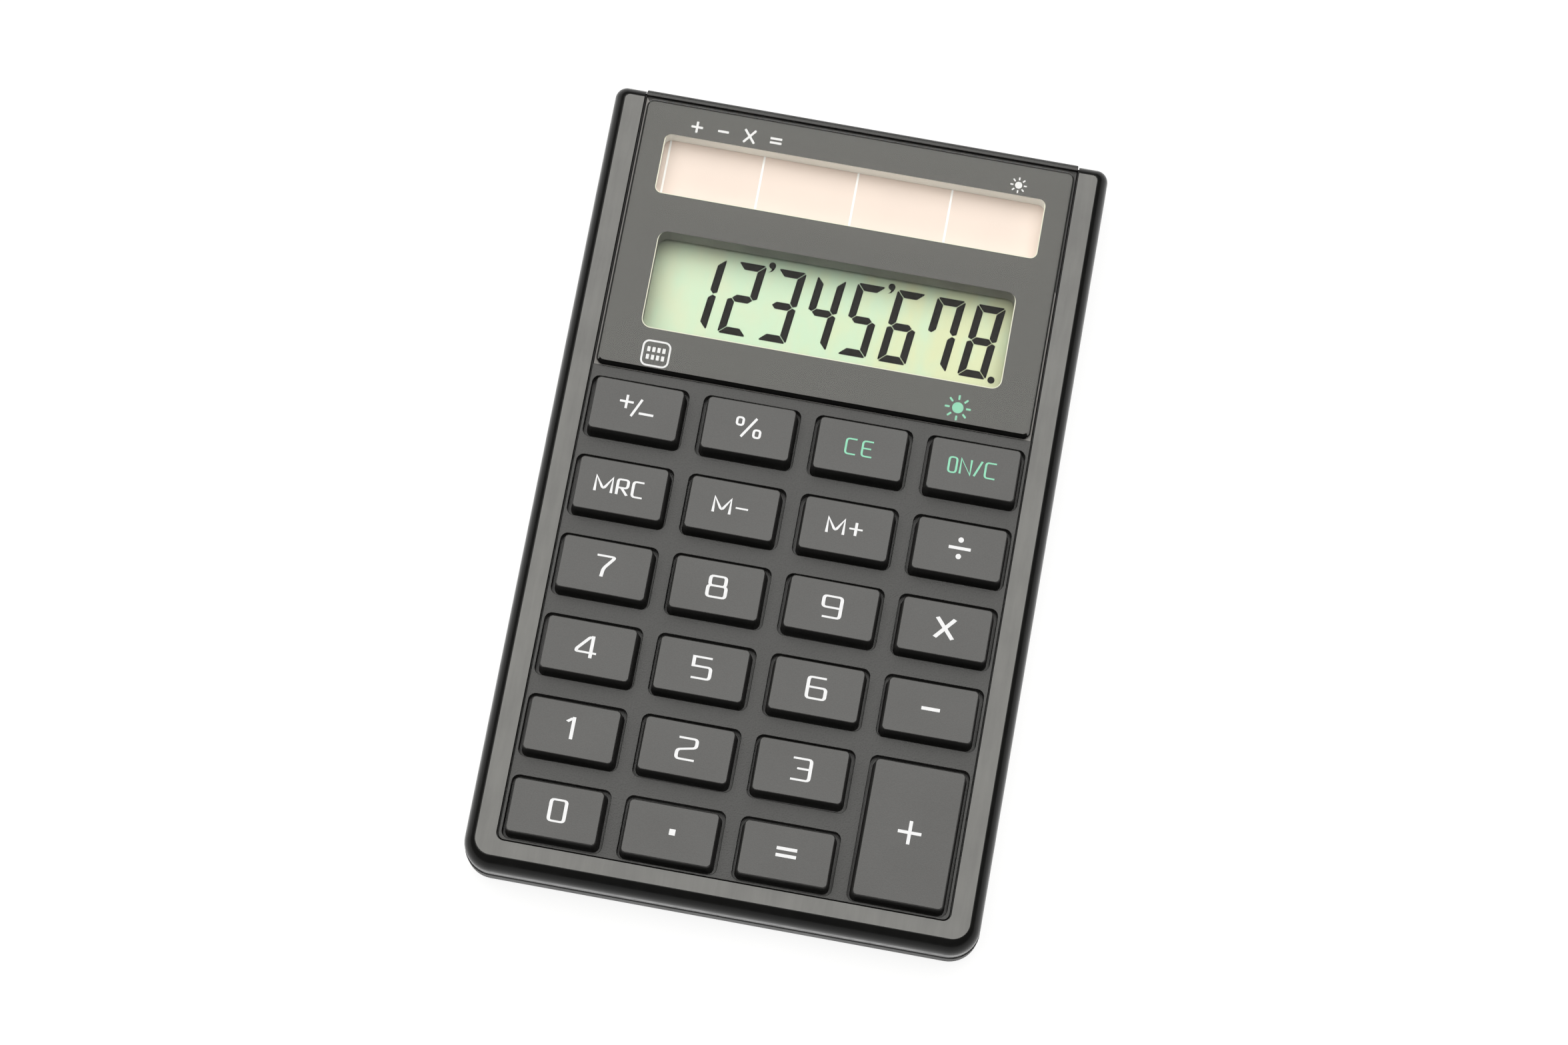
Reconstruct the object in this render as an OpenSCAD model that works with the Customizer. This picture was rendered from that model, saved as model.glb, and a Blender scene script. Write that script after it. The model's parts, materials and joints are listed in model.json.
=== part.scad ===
// Pocket calculator with an eight digit display, a solar cell and 23 keys.
// The origin is under the middle of the case, +Y points to the display, +Z out of the keys.

/* [Case] */
// Width of the case across its sides
case_w = 69.7; // [69:0.1:71]
// Length of the case from the front edge to the display end
case_l = 111.2; // [111:0.1:112]
// Radius of the two corners at the front edge, seen from above
front_corner_r = 4; // [2.5:0.1:4.5]
// Radius of the two corners at the display end, seen from above
back_corner_r = 1.6; // [1:0.1:2.5]
// Height of the seam between the rear case and the front half
seam_z = 4; // [3.8:0.1:4.2]
// Height of the flat top of the gloss rim
rim_z = 9.6; // [9.5:0.1:9.8]
// Height of the keypad deck
deck_z = 9; // [8.9:0.1:9.1]
// Width of the gap between the deck and the gloss rim
deck_gap = 0.2; // [0.1:0.05:0.3]

/* [Keys] */
// Distance between key columns
key_pitch_x = 15.45; // [15.2:0.05:15.6]
// Distance between key rows
key_pitch_y = 11.18; // [11.1:0.01:11.2]
// Place of the top row of keys along Y
first_row_y = 9.25; // [9:0.05:9.4]
// Width of a key hole in the deck
hole_w = 13.4; // [13.2:0.1:13.5]
// Length of a key hole in the deck
hole_l = 8.6; // [8.5:0.1:8.7]
// Space between a key's foot and the edge of its hole
key_gap = 0.33; // [0.25:0.01:0.4]
// How much narrower a key is at its top, on each side
key_draft = 0.33; // [0.1:0.01:0.4]
// How far a key stands above the deck
key_rise = 2.2; // [1.8:0.1:2.4]
// How far a key goes down when it is pressed
key_travel = 1.2; // [0.8:0.1:1.2]

/* [Display] */
// Height of the top of the clear lens
lens_z = 10; // [9.8:0.1:10.1]
// Thickness of the clear lens
lens_t = 1.2; // [1:0.1:1.2]
// Width of the lens at its foot
lens_w = 60.1; // [59.6:0.1:60.3]
// Place of the lens's lower edge along Y
lens_low_y = 15.25; // [15:0.05:15.4]
// Place of the lens's upper edge along Y
lens_high_y = 53.95; // [53.6:0.05:54]
// Width of the bevel round the lens
lens_bevel = 0.45; // [0.2:0.05:0.6]
// Width of the display window
lcd_window_w = 50; // [49:0.5:51]
// Height of the display window
lcd_window_l = 14; // [13:0.5:14.5]
// Place of the display window's middle along Y
lcd_y = 28.5; // [28:0.1:29]
// Width of the solar window
solar_window_w = 53.5; // [52:0.5:54]
// Height of the solar window
solar_window_l = 8.7; // [8:0.1:9]
// Place of the solar window's middle along Y
solar_y = 45.13; // [44.8:0.01:45.4]

/* [Hidden] */
$fn = 48;
sliver = 0.01;

// Keys as [node name, column, row], and rows counted from the display downwards.
KEY_ROWS = [
    ["key_sign", "key_percent", "key_clear_entry", "key_on_clear"],
    ["key_memory_recall", "key_memory_minus", "key_memory_plus", "key_divide"],
    ["key_7", "key_8", "key_9", "key_multiply"],
    ["key_4", "key_5", "key_6", "key_minus"],
    ["key_1", "key_2", "key_3"],
    ["key_0", "key_point", "key_equals"]
];
KEYS = concat(
    [for (row = [0:5]) for (column = [0:len(KEY_ROWS[row]) - 1]) [KEY_ROWS[row][column], column, row]],
    [["key_plus", 3, 4.5]]
);

// Outline of the front half, and how its convex outer edge falls away from the flat rim
half_w = case_w / 2;
half_l = case_l / 2;
front_inset = 0.1;
wall_t = 1.5;
side_slope = 1.6;
front_slope = 1.9;
back_slope = 1.6;
// Steps down the outer edge as [share of the slope's width taken, depth below the rim]
EDGE_STEPS = [[0, 0], [0.17, 0.12], [0.5, 0.6], [0.8, 1.3], [0.95, 2.1], [1, 3.2]];
seam_gap = 0.15;
rim_inner_x = 30.5;
rim_inner_y = -51.45;
rim_inner_r = 1.1;
spigot_t = 0.7;
spigot_drop = 1;

// Heights inside
floor_t = 1;
foot_round = 1;
plate_low_z = 7.2;
plate_top_z = 8;
bezel_under_z = 8.05;
tray_z = 8.6;
mask_t = 0.05;
lcd_top_z = 5.1;
polariser_t = 0.2;
glass_t = 0.7;
reflector_t = 0.3;
cell_top_z = 6;
cell_t = 1.1;
cell_w = 55.6;
cell_l = 10.6;
board_top_z = 3.15;
board_t = 0.8;
pad_t = 0.05;
rubber_t = 0.5;
dome_top_z = 5.4;
dome_roof_z = 4.6;
dome_foot_r = 3.2;
dome_head_r = 1.9;
dome_wall_t = 0.3;
pill_r = 1.4;
pill_t = 0.2;

// Keys
key_foot_w = hole_w - 2 * key_gap;
key_foot_l = hole_l - 2 * key_gap;
key_top_z = deck_z + key_rise;
flange_top_z = plate_low_z - 0.1;
flange_t = 0.8;
flange_extra_x = 0.4;
flange_extra_y = 0.3;
flange_r = 1.5;
key_corner_r = 0.6;
hole_r = 1;
plunger_r = 1.6;
cap_wall = 1.1;
cap_web = 0.8;
top_round = 0.25;

// Rail, tray and frames of the front panel
deck_w = 2 * (rim_inner_x - deck_gap);
rail_low_y = 54.3;
rail_top_z = 9.3;
rail_flat = 0.35;
rail_back_y = half_l - front_inset;
lcd_window_r = 1.4;
solar_window_r = 1;
lcd_frame_t = 1.2;
gasket_gap = 0.2;
gasket_w = 1.4;

// LCD glass
lcd_glass_w = 54.8;
lcd_glass_low_y = 20.6;
lcd_glass_high_y = 37.6;
lcd_ledge = 2.4;

// Circuit board and rubber mat
board_half_w = 30.1;
board_low_y = -50.4;
board_high_y = 17.3;
mat_half_w = 29.9;
mat_high_y = 13.9;

// Bracket behind the display
bracket_low_y = 19;
bracket_high_y = 50.5;
bracket_low_z = 2;
bracket_t = 1;

// Fasteners
standoff_r = 2.2;
standoff_top_z = 2.2;
well_r = 1.7;
well_h = 1.4;
case_tip_z = 5.9;
small_tip_z = 6.5;
boss_r = 1.4;
board_boss_r = 1.25;
pilot_r = 0.8;
screw_r = 0.75;
slot_w = 0.3;
clearance_r = 0.95;
case_head_r = 1.5;
case_head_t = 0.8;
small_head_r = 1.3;
small_head_t = 0.6;
CASE_SCREWS = [
    [-key_pitch_x, -52.2], [key_pitch_x, -52.2],
    [-31.7, first_row_y - 2.5 * key_pitch_y], [31.7, first_row_y - 2.5 * key_pitch_y],
    [-31.7, 51.5], [31.7, 51.5]
];
// Board screws stand where four keys meet, counted in columns from the middle and rows from the top
BOARD_SCREWS = [for (place = [[-1, 0], [1, 0], [-1, 2], [1, 2], [-1, 4], [0, 4]])
    [place[0] * key_pitch_x, first_row_y - (place[1] + 0.5) * key_pitch_y]];
BRACKET_SCREWS = [[-30.3, 24], [30.3, 24], [-30.3, 47], [30.3, 47]];

function key_x(column) = (column - 1.5) * key_pitch_x;
function key_y(row) = first_row_y - row * key_pitch_y;
function is_tall(key) = key[0] == "key_plus";
function extra_l(key) = is_tall(key) ? key_pitch_y : 0;

// ---------- shared shapes ----------

module rounded_rect(w, l, r) {
    square([w - 2 * r, l], center = true);
    square([w, l - 2 * r], center = true);
    for (x = [-1, 1], y = [-1, 1])
        translate([x * (w / 2 - r), y * (l / 2 - r)])
            circle(r);
}

// Rectangle between two heights along Y, centred on X
module band(half_width, low_y, high_y) {
    translate([-half_width, low_y])
        square([2 * half_width, high_y - low_y]);
}

// Case outline, pulled in by its own amount at the sides, the front edge and the back edge
module case_outline(side, front, back, front_r, back_r) {
    x = half_w - side;
    low = -half_l + front;
    high = half_l - back;
    polygon([
        [-x, low + front_r], [-x + front_r, low], [x - front_r, low], [x, low + front_r],
        [x, high - back_r], [x - back_r, high], [-x + back_r, high], [-x, high - back_r]
    ]);
    for (side_x = [-1, 1]) {
        translate([side_x * (x - front_r), low + front_r])
            circle(front_r);
        translate([side_x * (x - back_r), high - back_r])
            circle(back_r);
    }
}

module plain_outline(inset) {
    case_outline(inset, inset, inset, front_corner_r - inset / 2, max(0.4, back_corner_r - inset));
}

// Points down one convex edge, from the flat rim to the seam, at a straight side [position, direction]
function edge_points(outer, direction, slope) = concat(
    [for (step = EDGE_STEPS) [outer - direction * (1 - step[0]) * slope, rim_z - step[1]]],
    [[outer, seam_z + seam_gap]]
);

// Outline between two convex edges, low_slope at the negative end and high_slope at the positive end
module edge_profile(half, low_slope, high_slope) {
    low = edge_points(front_inset - half, -1, low_slope);
    high = edge_points(half - front_inset, 1, high_slope);
    last = len(low) - 1;
    polygon(concat(high, [for (i = [last:-1:0]) low[i]]));
}

// Outer form of the front half down to the seam, with its convex edge
module front_form() {
    intersection() {
        translate([0, 0, seam_z + seam_gap])
            linear_extrude(rim_z - seam_z - seam_gap)
                plain_outline(front_inset);
        rotate([90, 0, 0])
            linear_extrude(case_l + 2, center = true)
                edge_profile(half_w, side_slope, side_slope);
        rotate([90, 0, 90])
            linear_extrude(case_w + 2, center = true)
                edge_profile(half_l, front_slope, back_slope);
    }
}

// Hole of the gloss rim, open at the display end
module rim_opening(gap) {
    x = rim_inner_x - gap;
    low = rim_inner_y + gap;
    r = rim_inner_r - gap;
    polygon([
        [-x, low + r], [-x + r, low], [x - r, low], [x, low + r],
        [x, half_l + 1], [-x, half_l + 1]
    ]);
    for (side = [-1, 1])
        translate([side * (x - r), low + r])
            circle(r);
}

module screws(places, head_r, head_t, head_low_z, tip_z) {
    for (place = places)
        translate([place[0], place[1], head_low_z]) {
            difference() {
                cylinder(r = head_r, h = head_t);
                for (turn = [0, 90])
                    rotate(turn)
                        translate([-head_r * 0.6, -slot_w / 2, -1])
                            cube([head_r * 1.2, slot_w, 1 + head_t / 2]);
            }
            translate([0, 0, head_t])
                cylinder(r = screw_r, h = tip_z - head_low_z - head_t);
        }
}

module bosses(places, r, low_z) {
    for (place = places)
        translate([place[0], place[1], low_z])
            difference() {
                cylinder(r = r, h = plate_low_z - low_z + sliver);
                translate([0, 0, -1])
                    cylinder(r = pilot_r, h = plate_low_z - low_z + 1);
            }
}

// Round wire from the back of the solar cell, down one side of the display, to the board
module solar_wire(side) {
    r = 0.35;
    bend = 1;
    run_x = side * 28.15;
    run_z = 4.4;
    cell_y = solar_y - 2;
    board_y = 16;
    // along the side of the display
    translate([run_x, board_y + bend, run_z])
        rotate([-90, 0, 0])
            cylinder(r = r, h = cell_y - board_y - 2 * bend, $fn = 24);
    // across to the cell
    translate([run_x - side * bend, cell_y - bend, run_z])
        rotate(side > 0 ? 0 : 90)
            rotate_extrude(angle = 90, $fn = 24)
                translate([bend, 0])
                    circle(r, $fn = 24);
    translate([run_x - side * bend, cell_y, run_z])
        rotate([0, -90 * side, 0])
            cylinder(r = r, h = 1.5, $fn = 24);
    // down to the board
    translate([run_x, board_y + bend, run_z - bend])
        rotate([0, -90, 0])
            rotate(-90)
                rotate_extrude(angle = 90, $fn = 24)
                    translate([bend, 0])
                        circle(r, $fn = 24);
    translate([run_x, board_y, board_top_z - pad_t])
        cylinder(r = r, h = run_z - bend - board_top_z + pad_t, $fn = 24);
}

// ---------- keys ----------

module key_cap(key) {
    extra = extra_l(key);
    top_w = key_foot_w - 2 * key_draft;
    top_l = key_foot_l - 2 * key_draft + extra;
    translate([key_x(key[1]), key_y(key[2]), 0])
        color([0.16, 0.16, 0.15])
            difference() {
                union() {
                    // tapered cap with a softened top edge
                    hull() {
                        translate([0, 0, flange_top_z - sliver])
                            linear_extrude(sliver)
                                rounded_rect(key_foot_w, key_foot_l + extra, key_corner_r + key_draft, $fn = 24);
                        translate([0, 0, key_top_z - top_round])
                            linear_extrude(sliver)
                                rounded_rect(top_w, top_l, key_corner_r, $fn = 24);
                        translate([0, 0, key_top_z - sliver])
                            linear_extrude(sliver)
                                rounded_rect(
                                    top_w - 2 * top_round,
                                    top_l - 2 * top_round,
                                    key_corner_r - top_round / 2,
                                    $fn = 24
                                );
                    }
                    // flange that keeps the key in the panel
                    translate([0, 0, flange_top_z - flange_t])
                        linear_extrude(flange_t)
                            rounded_rect(hole_w + 2 * flange_extra_x, hole_l + 2 * flange_extra_y + extra, flange_r);
                }
                // hollow underside, round the plunger
                translate([0, 0, flange_top_z - flange_t - 1])
                    linear_extrude(key_top_z - cap_wall - flange_top_z + flange_t + 1)
                        difference() {
                            square([top_w - 2 * cap_wall, top_l - 2 * cap_wall], center = true);
                            circle(plunger_r);
                            square([cap_web, top_l], center = true);
                            square([top_w, cap_web], center = true);
                        }
            }
    // plunger that presses the rubber dome
    translate([key_x(key[1]), key_y(key[2]), dome_top_z + 0.05])
        color([0.16, 0.16, 0.15])
            cylinder(r = plunger_r, h = key_top_z - cap_wall - dome_top_z);
}

// ---------- case ----------

module front_bezel() {
    color([0.05, 0.05, 0.05])
        difference() {
            union() {
                difference() {
                    front_form();
                    // hollow under the rim
                    translate([0, 0, seam_z - 1])
                        linear_extrude(bezel_under_z - seam_z + 1)
                            plain_outline(front_inset + wall_t);
                }
                // spigot that steps into the rear case
                translate([0, 0, seam_z - spigot_drop])
                    linear_extrude(spigot_drop + seam_gap + 0.5)
                        difference() {
                            plain_outline(front_inset + wall_t - spigot_t);
                            plain_outline(front_inset + wall_t);
                        }
            }
            // opening for the panel
            translate([0, 0, seam_z - 2])
                linear_extrude(rim_z)
                    rim_opening(0);
        }
}

module key_hole(key) {
    translate([key_x(key[1]), key_y(key[2])])
        rounded_rect(hole_w, hole_l + extra_l(key), hole_r);
}

module front_panel() {
    plate_inset = front_inset + wall_t + 0.1;
    color([0.17, 0.17, 0.16])
        difference() {
            union() {
                // plate under the rim
                translate([0, 0, plate_low_z])
                    linear_extrude(plate_top_z - plate_low_z)
                        intersection() {
                            plain_outline(plate_inset);
                            band(half_w, -half_l, rail_low_y + 0.5);
                        }
                // deck
                translate([0, 0, plate_top_z - sliver])
                    linear_extrude(deck_z - plate_top_z + sliver)
                        intersection() {
                            rim_opening(deck_gap);
                            band(half_w, -half_l, lens_low_y - 0.15);
                        }
                // tray for the lens
                translate([0, 0, plate_top_z - sliver])
                    linear_extrude(tray_z - plate_top_z + sliver)
                        band(deck_w / 2, lens_low_y - 0.2, rail_low_y + 0.1);
                // rail across the display end, down to the seam
                hull() {
                    translate([-deck_w / 2, rail_low_y, rail_top_z - sliver])
                        cube([deck_w, rail_flat, sliver]);
                    translate([-deck_w / 2, rail_low_y, rail_top_z - 0.7])
                        cube([deck_w, rail_back_y - 0.45 - rail_low_y, sliver]);
                    translate([-deck_w / 2, rail_low_y, rail_top_z - 2.2])
                        cube([deck_w, rail_back_y - rail_low_y, sliver]);
                    translate([-deck_w / 2, rail_low_y, seam_z + seam_gap])
                        cube([deck_w, rail_back_y - rail_low_y, sliver]);
                }
                // frame round the display window, down to the glass
                translate([0, lcd_y, lcd_top_z + 0.05])
                    linear_extrude(plate_low_z - lcd_top_z)
                        rounded_rect(
                            lcd_window_w + 2 * lcd_frame_t,
                            lcd_window_l + 2 * lcd_frame_t,
                            lcd_window_r + 1
                        );
                bosses(CASE_SCREWS, boss_r, standoff_top_z + 0.1);
                bosses(BOARD_SCREWS, board_boss_r, board_top_z + 0.05);
                bosses(BRACKET_SCREWS, boss_r, bracket_low_z + bracket_t);
            }
            // key holes
            translate([0, 0, plate_low_z - 1])
                linear_extrude(deck_z)
                    for (key = KEYS)
                        key_hole(key);
            // display window
            translate([0, lcd_y, lcd_top_z - 1])
                linear_extrude(lens_z)
                    rounded_rect(lcd_window_w, lcd_window_l, lcd_window_r);
            // opening for the solar cell and its gasket
            translate([0, solar_y, plate_low_z - 1])
                linear_extrude(lens_z)
                    rounded_rect(
                        solar_window_w + 2 * (gasket_w + gasket_gap),
                        solar_window_l + 2 * (gasket_w + gasket_gap),
                        solar_window_r + 0.8
                    );
        }
}

module rear_case() {
    label_w = 40;
    label_l = 16;
    label_depth = 0.2;
    rib_w = 58;
    rib_t = 0.8;
    rib_h = 0.5;
    color([0.07, 0.07, 0.07])
        difference() {
            union() {
                difference() {
                    // outer form with a rounded lower edge
                    hull() {
                        for (turn = [0:22.5:90])
                            translate([0, 0, foot_round * (1 - cos(turn))])
                                linear_extrude(sliver)
                                    case_outline(
                                        foot_round * (1 - sin(turn)),
                                        foot_round * (1 - sin(turn)),
                                        foot_round * (1 - sin(turn)),
                                        front_corner_r - foot_round * (1 - sin(turn)) / 2,
                                        back_corner_r - foot_round * (1 - sin(turn)) / 2
                                    );
                        translate([0, 0, seam_z - sliver])
                            linear_extrude(sliver)
                                plain_outline(0);
                    }
                    // inside of the tray
                    translate([0, 0, floor_t])
                        linear_extrude(seam_z)
                            plain_outline(wall_t);
                    // rebate that takes the front half's spigot
                    translate([0, 0, seam_z - spigot_drop - 0.1])
                        linear_extrude(seam_z)
                            plain_outline(front_inset + wall_t - spigot_t - 0.1);
                }
                // standoffs round the case screws
                for (place = CASE_SCREWS)
                    translate([place[0], place[1], floor_t - 0.1])
                        cylinder(r = standoff_r, h = standoff_top_z - floor_t + 0.1);
                // stiffening ribs across the floor
                for (y = [-36, -17, 2])
                    translate([-rib_w / 2, y, floor_t - 0.1])
                        cube([rib_w, rib_t, rib_h + 0.1]);
            }
            // screw wells and holes
            for (place = CASE_SCREWS)
                translate([place[0], place[1], 0]) {
                    translate([0, 0, -1])
                        cylinder(r = well_r, h = well_h + 1);
                    cylinder(r = clearance_r, h = seam_z);
                }
            // shallow recess for a plain label
            translate([0, 22, -1])
                linear_extrude(1 + label_depth)
                    rounded_rect(label_w, label_l, 1);
        }
}

module case_screws() {
    color([0.5, 0.5, 0.52])
        screws(CASE_SCREWS, case_head_r, case_head_t, well_h - case_head_t, case_tip_z);
}

// ---------- display ----------

module display_lens() {
    lens_l = lens_high_y - lens_low_y;
    low_z = lens_z - lens_t;
    color([0.3, 0.3, 0.3, 0.5])
        translate([0, (lens_low_y + lens_high_y) / 2, 0])
            hull() {
                translate([0, 0, low_z])
                    linear_extrude(lens_t - lens_bevel)
                        rounded_rect(lens_w, lens_l, 1);
                translate([0, 0, lens_z - sliver])
                    linear_extrude(sliver)
                        rounded_rect(lens_w - 2 * lens_bevel, lens_l - 2 * lens_bevel, 0.7);
            }
}

// Sheet the size of the lens with both windows cut out of it
module window_sheet(low_z, t, window_extra) {
    lens_l = lens_high_y - lens_low_y;
    translate([0, 0, low_z])
        linear_extrude(t)
            difference() {
                translate([0, (lens_low_y + lens_high_y) / 2])
                    square([lens_w - 0.6, lens_l - 0.6], center = true);
                translate([0, lcd_y])
                    rounded_rect(lcd_window_w + window_extra, lcd_window_l + window_extra, lcd_window_r);
                translate([0, solar_y])
                    rounded_rect(
                        solar_window_w + window_extra,
                        solar_window_l + window_extra,
                        solar_window_r
                    );
            }
}

module lens_mask() {
    color([0.03, 0.03, 0.03])
        window_sheet(lens_z - lens_t - mask_t, mask_t, 0);
}

module lens_tape() {
    color([0.1, 0.1, 0.1])
        window_sheet(tray_z, lens_z - lens_t - mask_t - tray_z, 1);
}

module glass_sheet(low_y, high_y, low_z, t) {
    translate([-lcd_glass_w / 2, low_y, low_z])
        cube([lcd_glass_w, high_y - low_y, t]);
}

module lcd_front_polariser() {
    color([0.75, 0.8, 0.7, 0.4])
        translate([-lcd_glass_w / 2 + 0.6, lcd_glass_low_y + 0.4, lcd_top_z - polariser_t])
            cube([lcd_glass_w - 1.2, lcd_glass_high_y - lcd_glass_low_y - 0.8, polariser_t]);
}

module lcd_front_glass() {
    color([0.7, 0.8, 0.75, 0.4])
        glass_sheet(
            lcd_glass_low_y - lcd_ledge, lcd_glass_high_y,
            lcd_top_z - polariser_t - glass_t, glass_t
        );
}

module lcd_rear_glass() {
    color([0.7, 0.8, 0.75, 0.4])
        glass_sheet(
            lcd_glass_low_y, lcd_glass_high_y,
            lcd_top_z - polariser_t - 2 * glass_t, glass_t
        );
}

module lcd_reflector() {
    color([0.72, 0.8, 0.66])
        glass_sheet(
            lcd_glass_low_y, lcd_glass_high_y,
            lcd_top_z - polariser_t - 2 * glass_t - reflector_t, reflector_t
        );
}

// Flat ribbon bonded under the front glass at one end and to the board at the other
module lcd_ribbon() {
    ribbon_w = 40;
    ribbon_t = 0.12;
    glass_low_z = lcd_top_z - polariser_t - glass_t;
    high = glass_low_z - ribbon_t;
    color([0.8, 0.55, 0.25])
        translate([-24, 0, 0])
            rotate([90, 0, 90])
                linear_extrude(ribbon_w)
                    polygon([
                        [14.8, board_top_z], [16.6, board_top_z], [17.6, high - 0.4], [18.3, high],
                        [20.3, high], [20.3, high + ribbon_t], [18.2, high + ribbon_t],
                        [17.5, high - 0.3], [16.5, board_top_z + ribbon_t], [14.8, board_top_z + ribbon_t]
                    ]);
}

module solar_cell() {
    color([0.85, 0.72, 0.62])
        translate([0, solar_y, cell_top_z - cell_t / 2])
            cube([cell_w, cell_l, cell_t], center = true);
}

module solar_gasket() {
    color([0.85, 0.86, 0.84])
        translate([0, solar_y, cell_top_z])
            linear_extrude(tray_z - cell_top_z)
                difference() {
                    rounded_rect(
                        solar_window_w + 2 * gasket_w,
                        solar_window_l + 2 * gasket_w,
                        solar_window_r + 0.6
                    );
                    rounded_rect(solar_window_w, solar_window_l, solar_window_r);
                }
}

module solar_wire_positive() {
    color([0.7, 0.08, 0.06])
        solar_wire(-1);
}

module solar_wire_negative() {
    color([0.04, 0.04, 0.04])
        solar_wire(1);
}

module display_bracket() {
    middle_y = (bracket_low_y + bracket_high_y) / 2;
    bracket_l = bracket_high_y - bracket_low_y;
    lcd_low_z = lcd_top_z - polariser_t - 2 * glass_t - reflector_t;
    color([0.9, 0.9, 0.88])
        difference() {
            union() {
                translate([0, middle_y, bracket_low_z])
                    linear_extrude(bracket_t)
                        rounded_rect(57, bracket_l, 1.5);
                // ears for the screws
                for (place = BRACKET_SCREWS)
                    translate([place[0], place[1], bracket_low_z])
                        cylinder(r = 2, h = bracket_t);
                for (place = BRACKET_SCREWS)
                    translate([place[0] - sign(place[0]) * 1.5, place[1], bracket_low_z + bracket_t / 2])
                        cube([3, 4, bracket_t], center = true);
                // pads under the display
                for (y = [lcd_glass_low_y + 1, lcd_glass_high_y - 2])
                    translate([-26, y, bracket_low_z + bracket_t - sliver])
                        cube([52, 1, lcd_low_z - bracket_low_z - bracket_t + sliver]);
                // ribs under the solar cell
                for (x = [-20, 0, 20])
                    translate([x - 0.5, solar_y - 4, bracket_low_z + bracket_t - sliver])
                        cube([1, 8, cell_top_z - cell_t - bracket_low_z - bracket_t + sliver]);
            }
            for (place = BRACKET_SCREWS)
                translate([place[0], place[1], 0])
                    cylinder(r = clearance_r, h = seam_z);
            // weight-saving window between the display pads
            translate([0, 29, 0])
                linear_extrude(seam_z)
                    rounded_rect(40, 9, 1);
        }
}

module bracket_screws() {
    color([0.6, 0.6, 0.62])
        screws(BRACKET_SCREWS, small_head_r, small_head_t, bracket_low_z - small_head_t, small_tip_z);
}

// ---------- electronics ----------

module circuit_board() {
    low_z = board_top_z - board_t - pad_t;
    color([0.1, 0.35, 0.2])
        difference() {
            translate([0, 0, low_z])
                linear_extrude(board_t)
                    band(board_half_w, board_low_y, board_high_y);
            for (place = BOARD_SCREWS)
                translate([place[0], place[1], 0])
                    cylinder(r = clearance_r, h = seam_z);
        }
}

// Two half moons of carbon ink under each dome
module contact_pads() {
    color([0.08, 0.08, 0.08])
        translate([0, 0, board_top_z - pad_t])
            linear_extrude(pad_t)
                for (key = KEYS)
                    translate([key_x(key[1]), key_y(key[2])])
                        difference() {
                            circle(2);
                            square([0.35, 5], center = true);
                        }
}

module chip_cover() {
    color([0.03, 0.03, 0.03])
        translate([0, 12, board_top_z - pad_t - board_t - 1])
            intersection() {
                cylinder(r1 = 3.6, r2 = 4.4, h = 1);
                cylinder(r = 4.2, h = 1);
            }
}

module capacitor() {
    z = board_top_z + 1.6;
    color([0.1, 0.12, 0.3])
        translate([20.5, 15.6, z])
            rotate([0, 90, 0])
                cylinder(r = 1.5, h = 5.5);
    color([0.7, 0.7, 0.72])
        for (y = [15, 16.2])
            translate([19.3, y, board_top_z - pad_t]) {
                cylinder(r = 0.2, h = 1.65, $fn = 24);
                translate([0, 0, 1.65])
                    rotate([0, 90, 0])
                        cylinder(r = 0.2, h = 1.3, $fn = 24);
            }
}

module clamp_diode() {
    color([0.75, 0.35, 0.2])
        translate([-27, 14.9, board_top_z + 0.65])
            rotate([0, 90, 0])
                cylinder(r = 0.65, h = 2.4);
}

module chip_resistors() {
    color([0.12, 0.12, 0.12])
        for (x = [-12, -9, 9])
            translate([x, 13, board_top_z - pad_t - board_t - 0.5])
                cube([1.6, 0.8, 0.5]);
}

module board_screws() {
    low_z = board_top_z - pad_t - board_t;
    color([0.6, 0.6, 0.62])
        screws(BOARD_SCREWS, small_head_r, small_head_t, low_z - small_head_t, small_tip_z);
}

// Rubber mat with a collapsing dome under each key
module rubber_keypad() {
    mat_z = board_top_z + rubber_t - sliver;
    color([0.75, 0.75, 0.73])
        difference() {
            union() {
                translate([0, 0, board_top_z])
                    linear_extrude(rubber_t)
                        band(mat_half_w, board_low_y + 0.2, mat_high_y);
                for (key = KEYS)
                    translate([key_x(key[1]), key_y(key[2]), mat_z])
                        cylinder(r1 = dome_foot_r, r2 = dome_head_r, h = dome_top_z - mat_z);
            }
            for (key = KEYS)
                translate([key_x(key[1]), key_y(key[2]), board_top_z - sliver])
                    cylinder(
                        r1 = dome_foot_r - dome_wall_t,
                        r2 = dome_head_r - dome_wall_t,
                        h = dome_roof_z - board_top_z + sliver
                    );
            for (place = BOARD_SCREWS)
                translate([place[0], place[1], 0])
                    cylinder(r = 1.5, h = 10);
        }
}

// Conductive pill under the roof of each dome
module contact_pills() {
    color([0.05, 0.05, 0.05])
        for (key = KEYS)
            translate([key_x(key[1]), key_y(key[2]), dome_roof_z - pill_t])
                cylinder(r = pill_r, h = pill_t);
}

for (key = KEYS)
    key_cap(key);
front_bezel();
front_panel();
rear_case();
case_screws();
display_lens();
lens_mask();
lens_tape();
lcd_front_polariser();
lcd_front_glass();
lcd_rear_glass();
lcd_reflector();
lcd_ribbon();
solar_cell();
solar_gasket();
solar_wire_positive();
solar_wire_negative();
display_bracket();
bracket_screws();
circuit_board();
contact_pads();
chip_cover();
capacitor();
clamp_diode();
chip_resistors();
board_screws();
rubber_keypad();
contact_pills();
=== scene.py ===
import json
import math
import random

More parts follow.
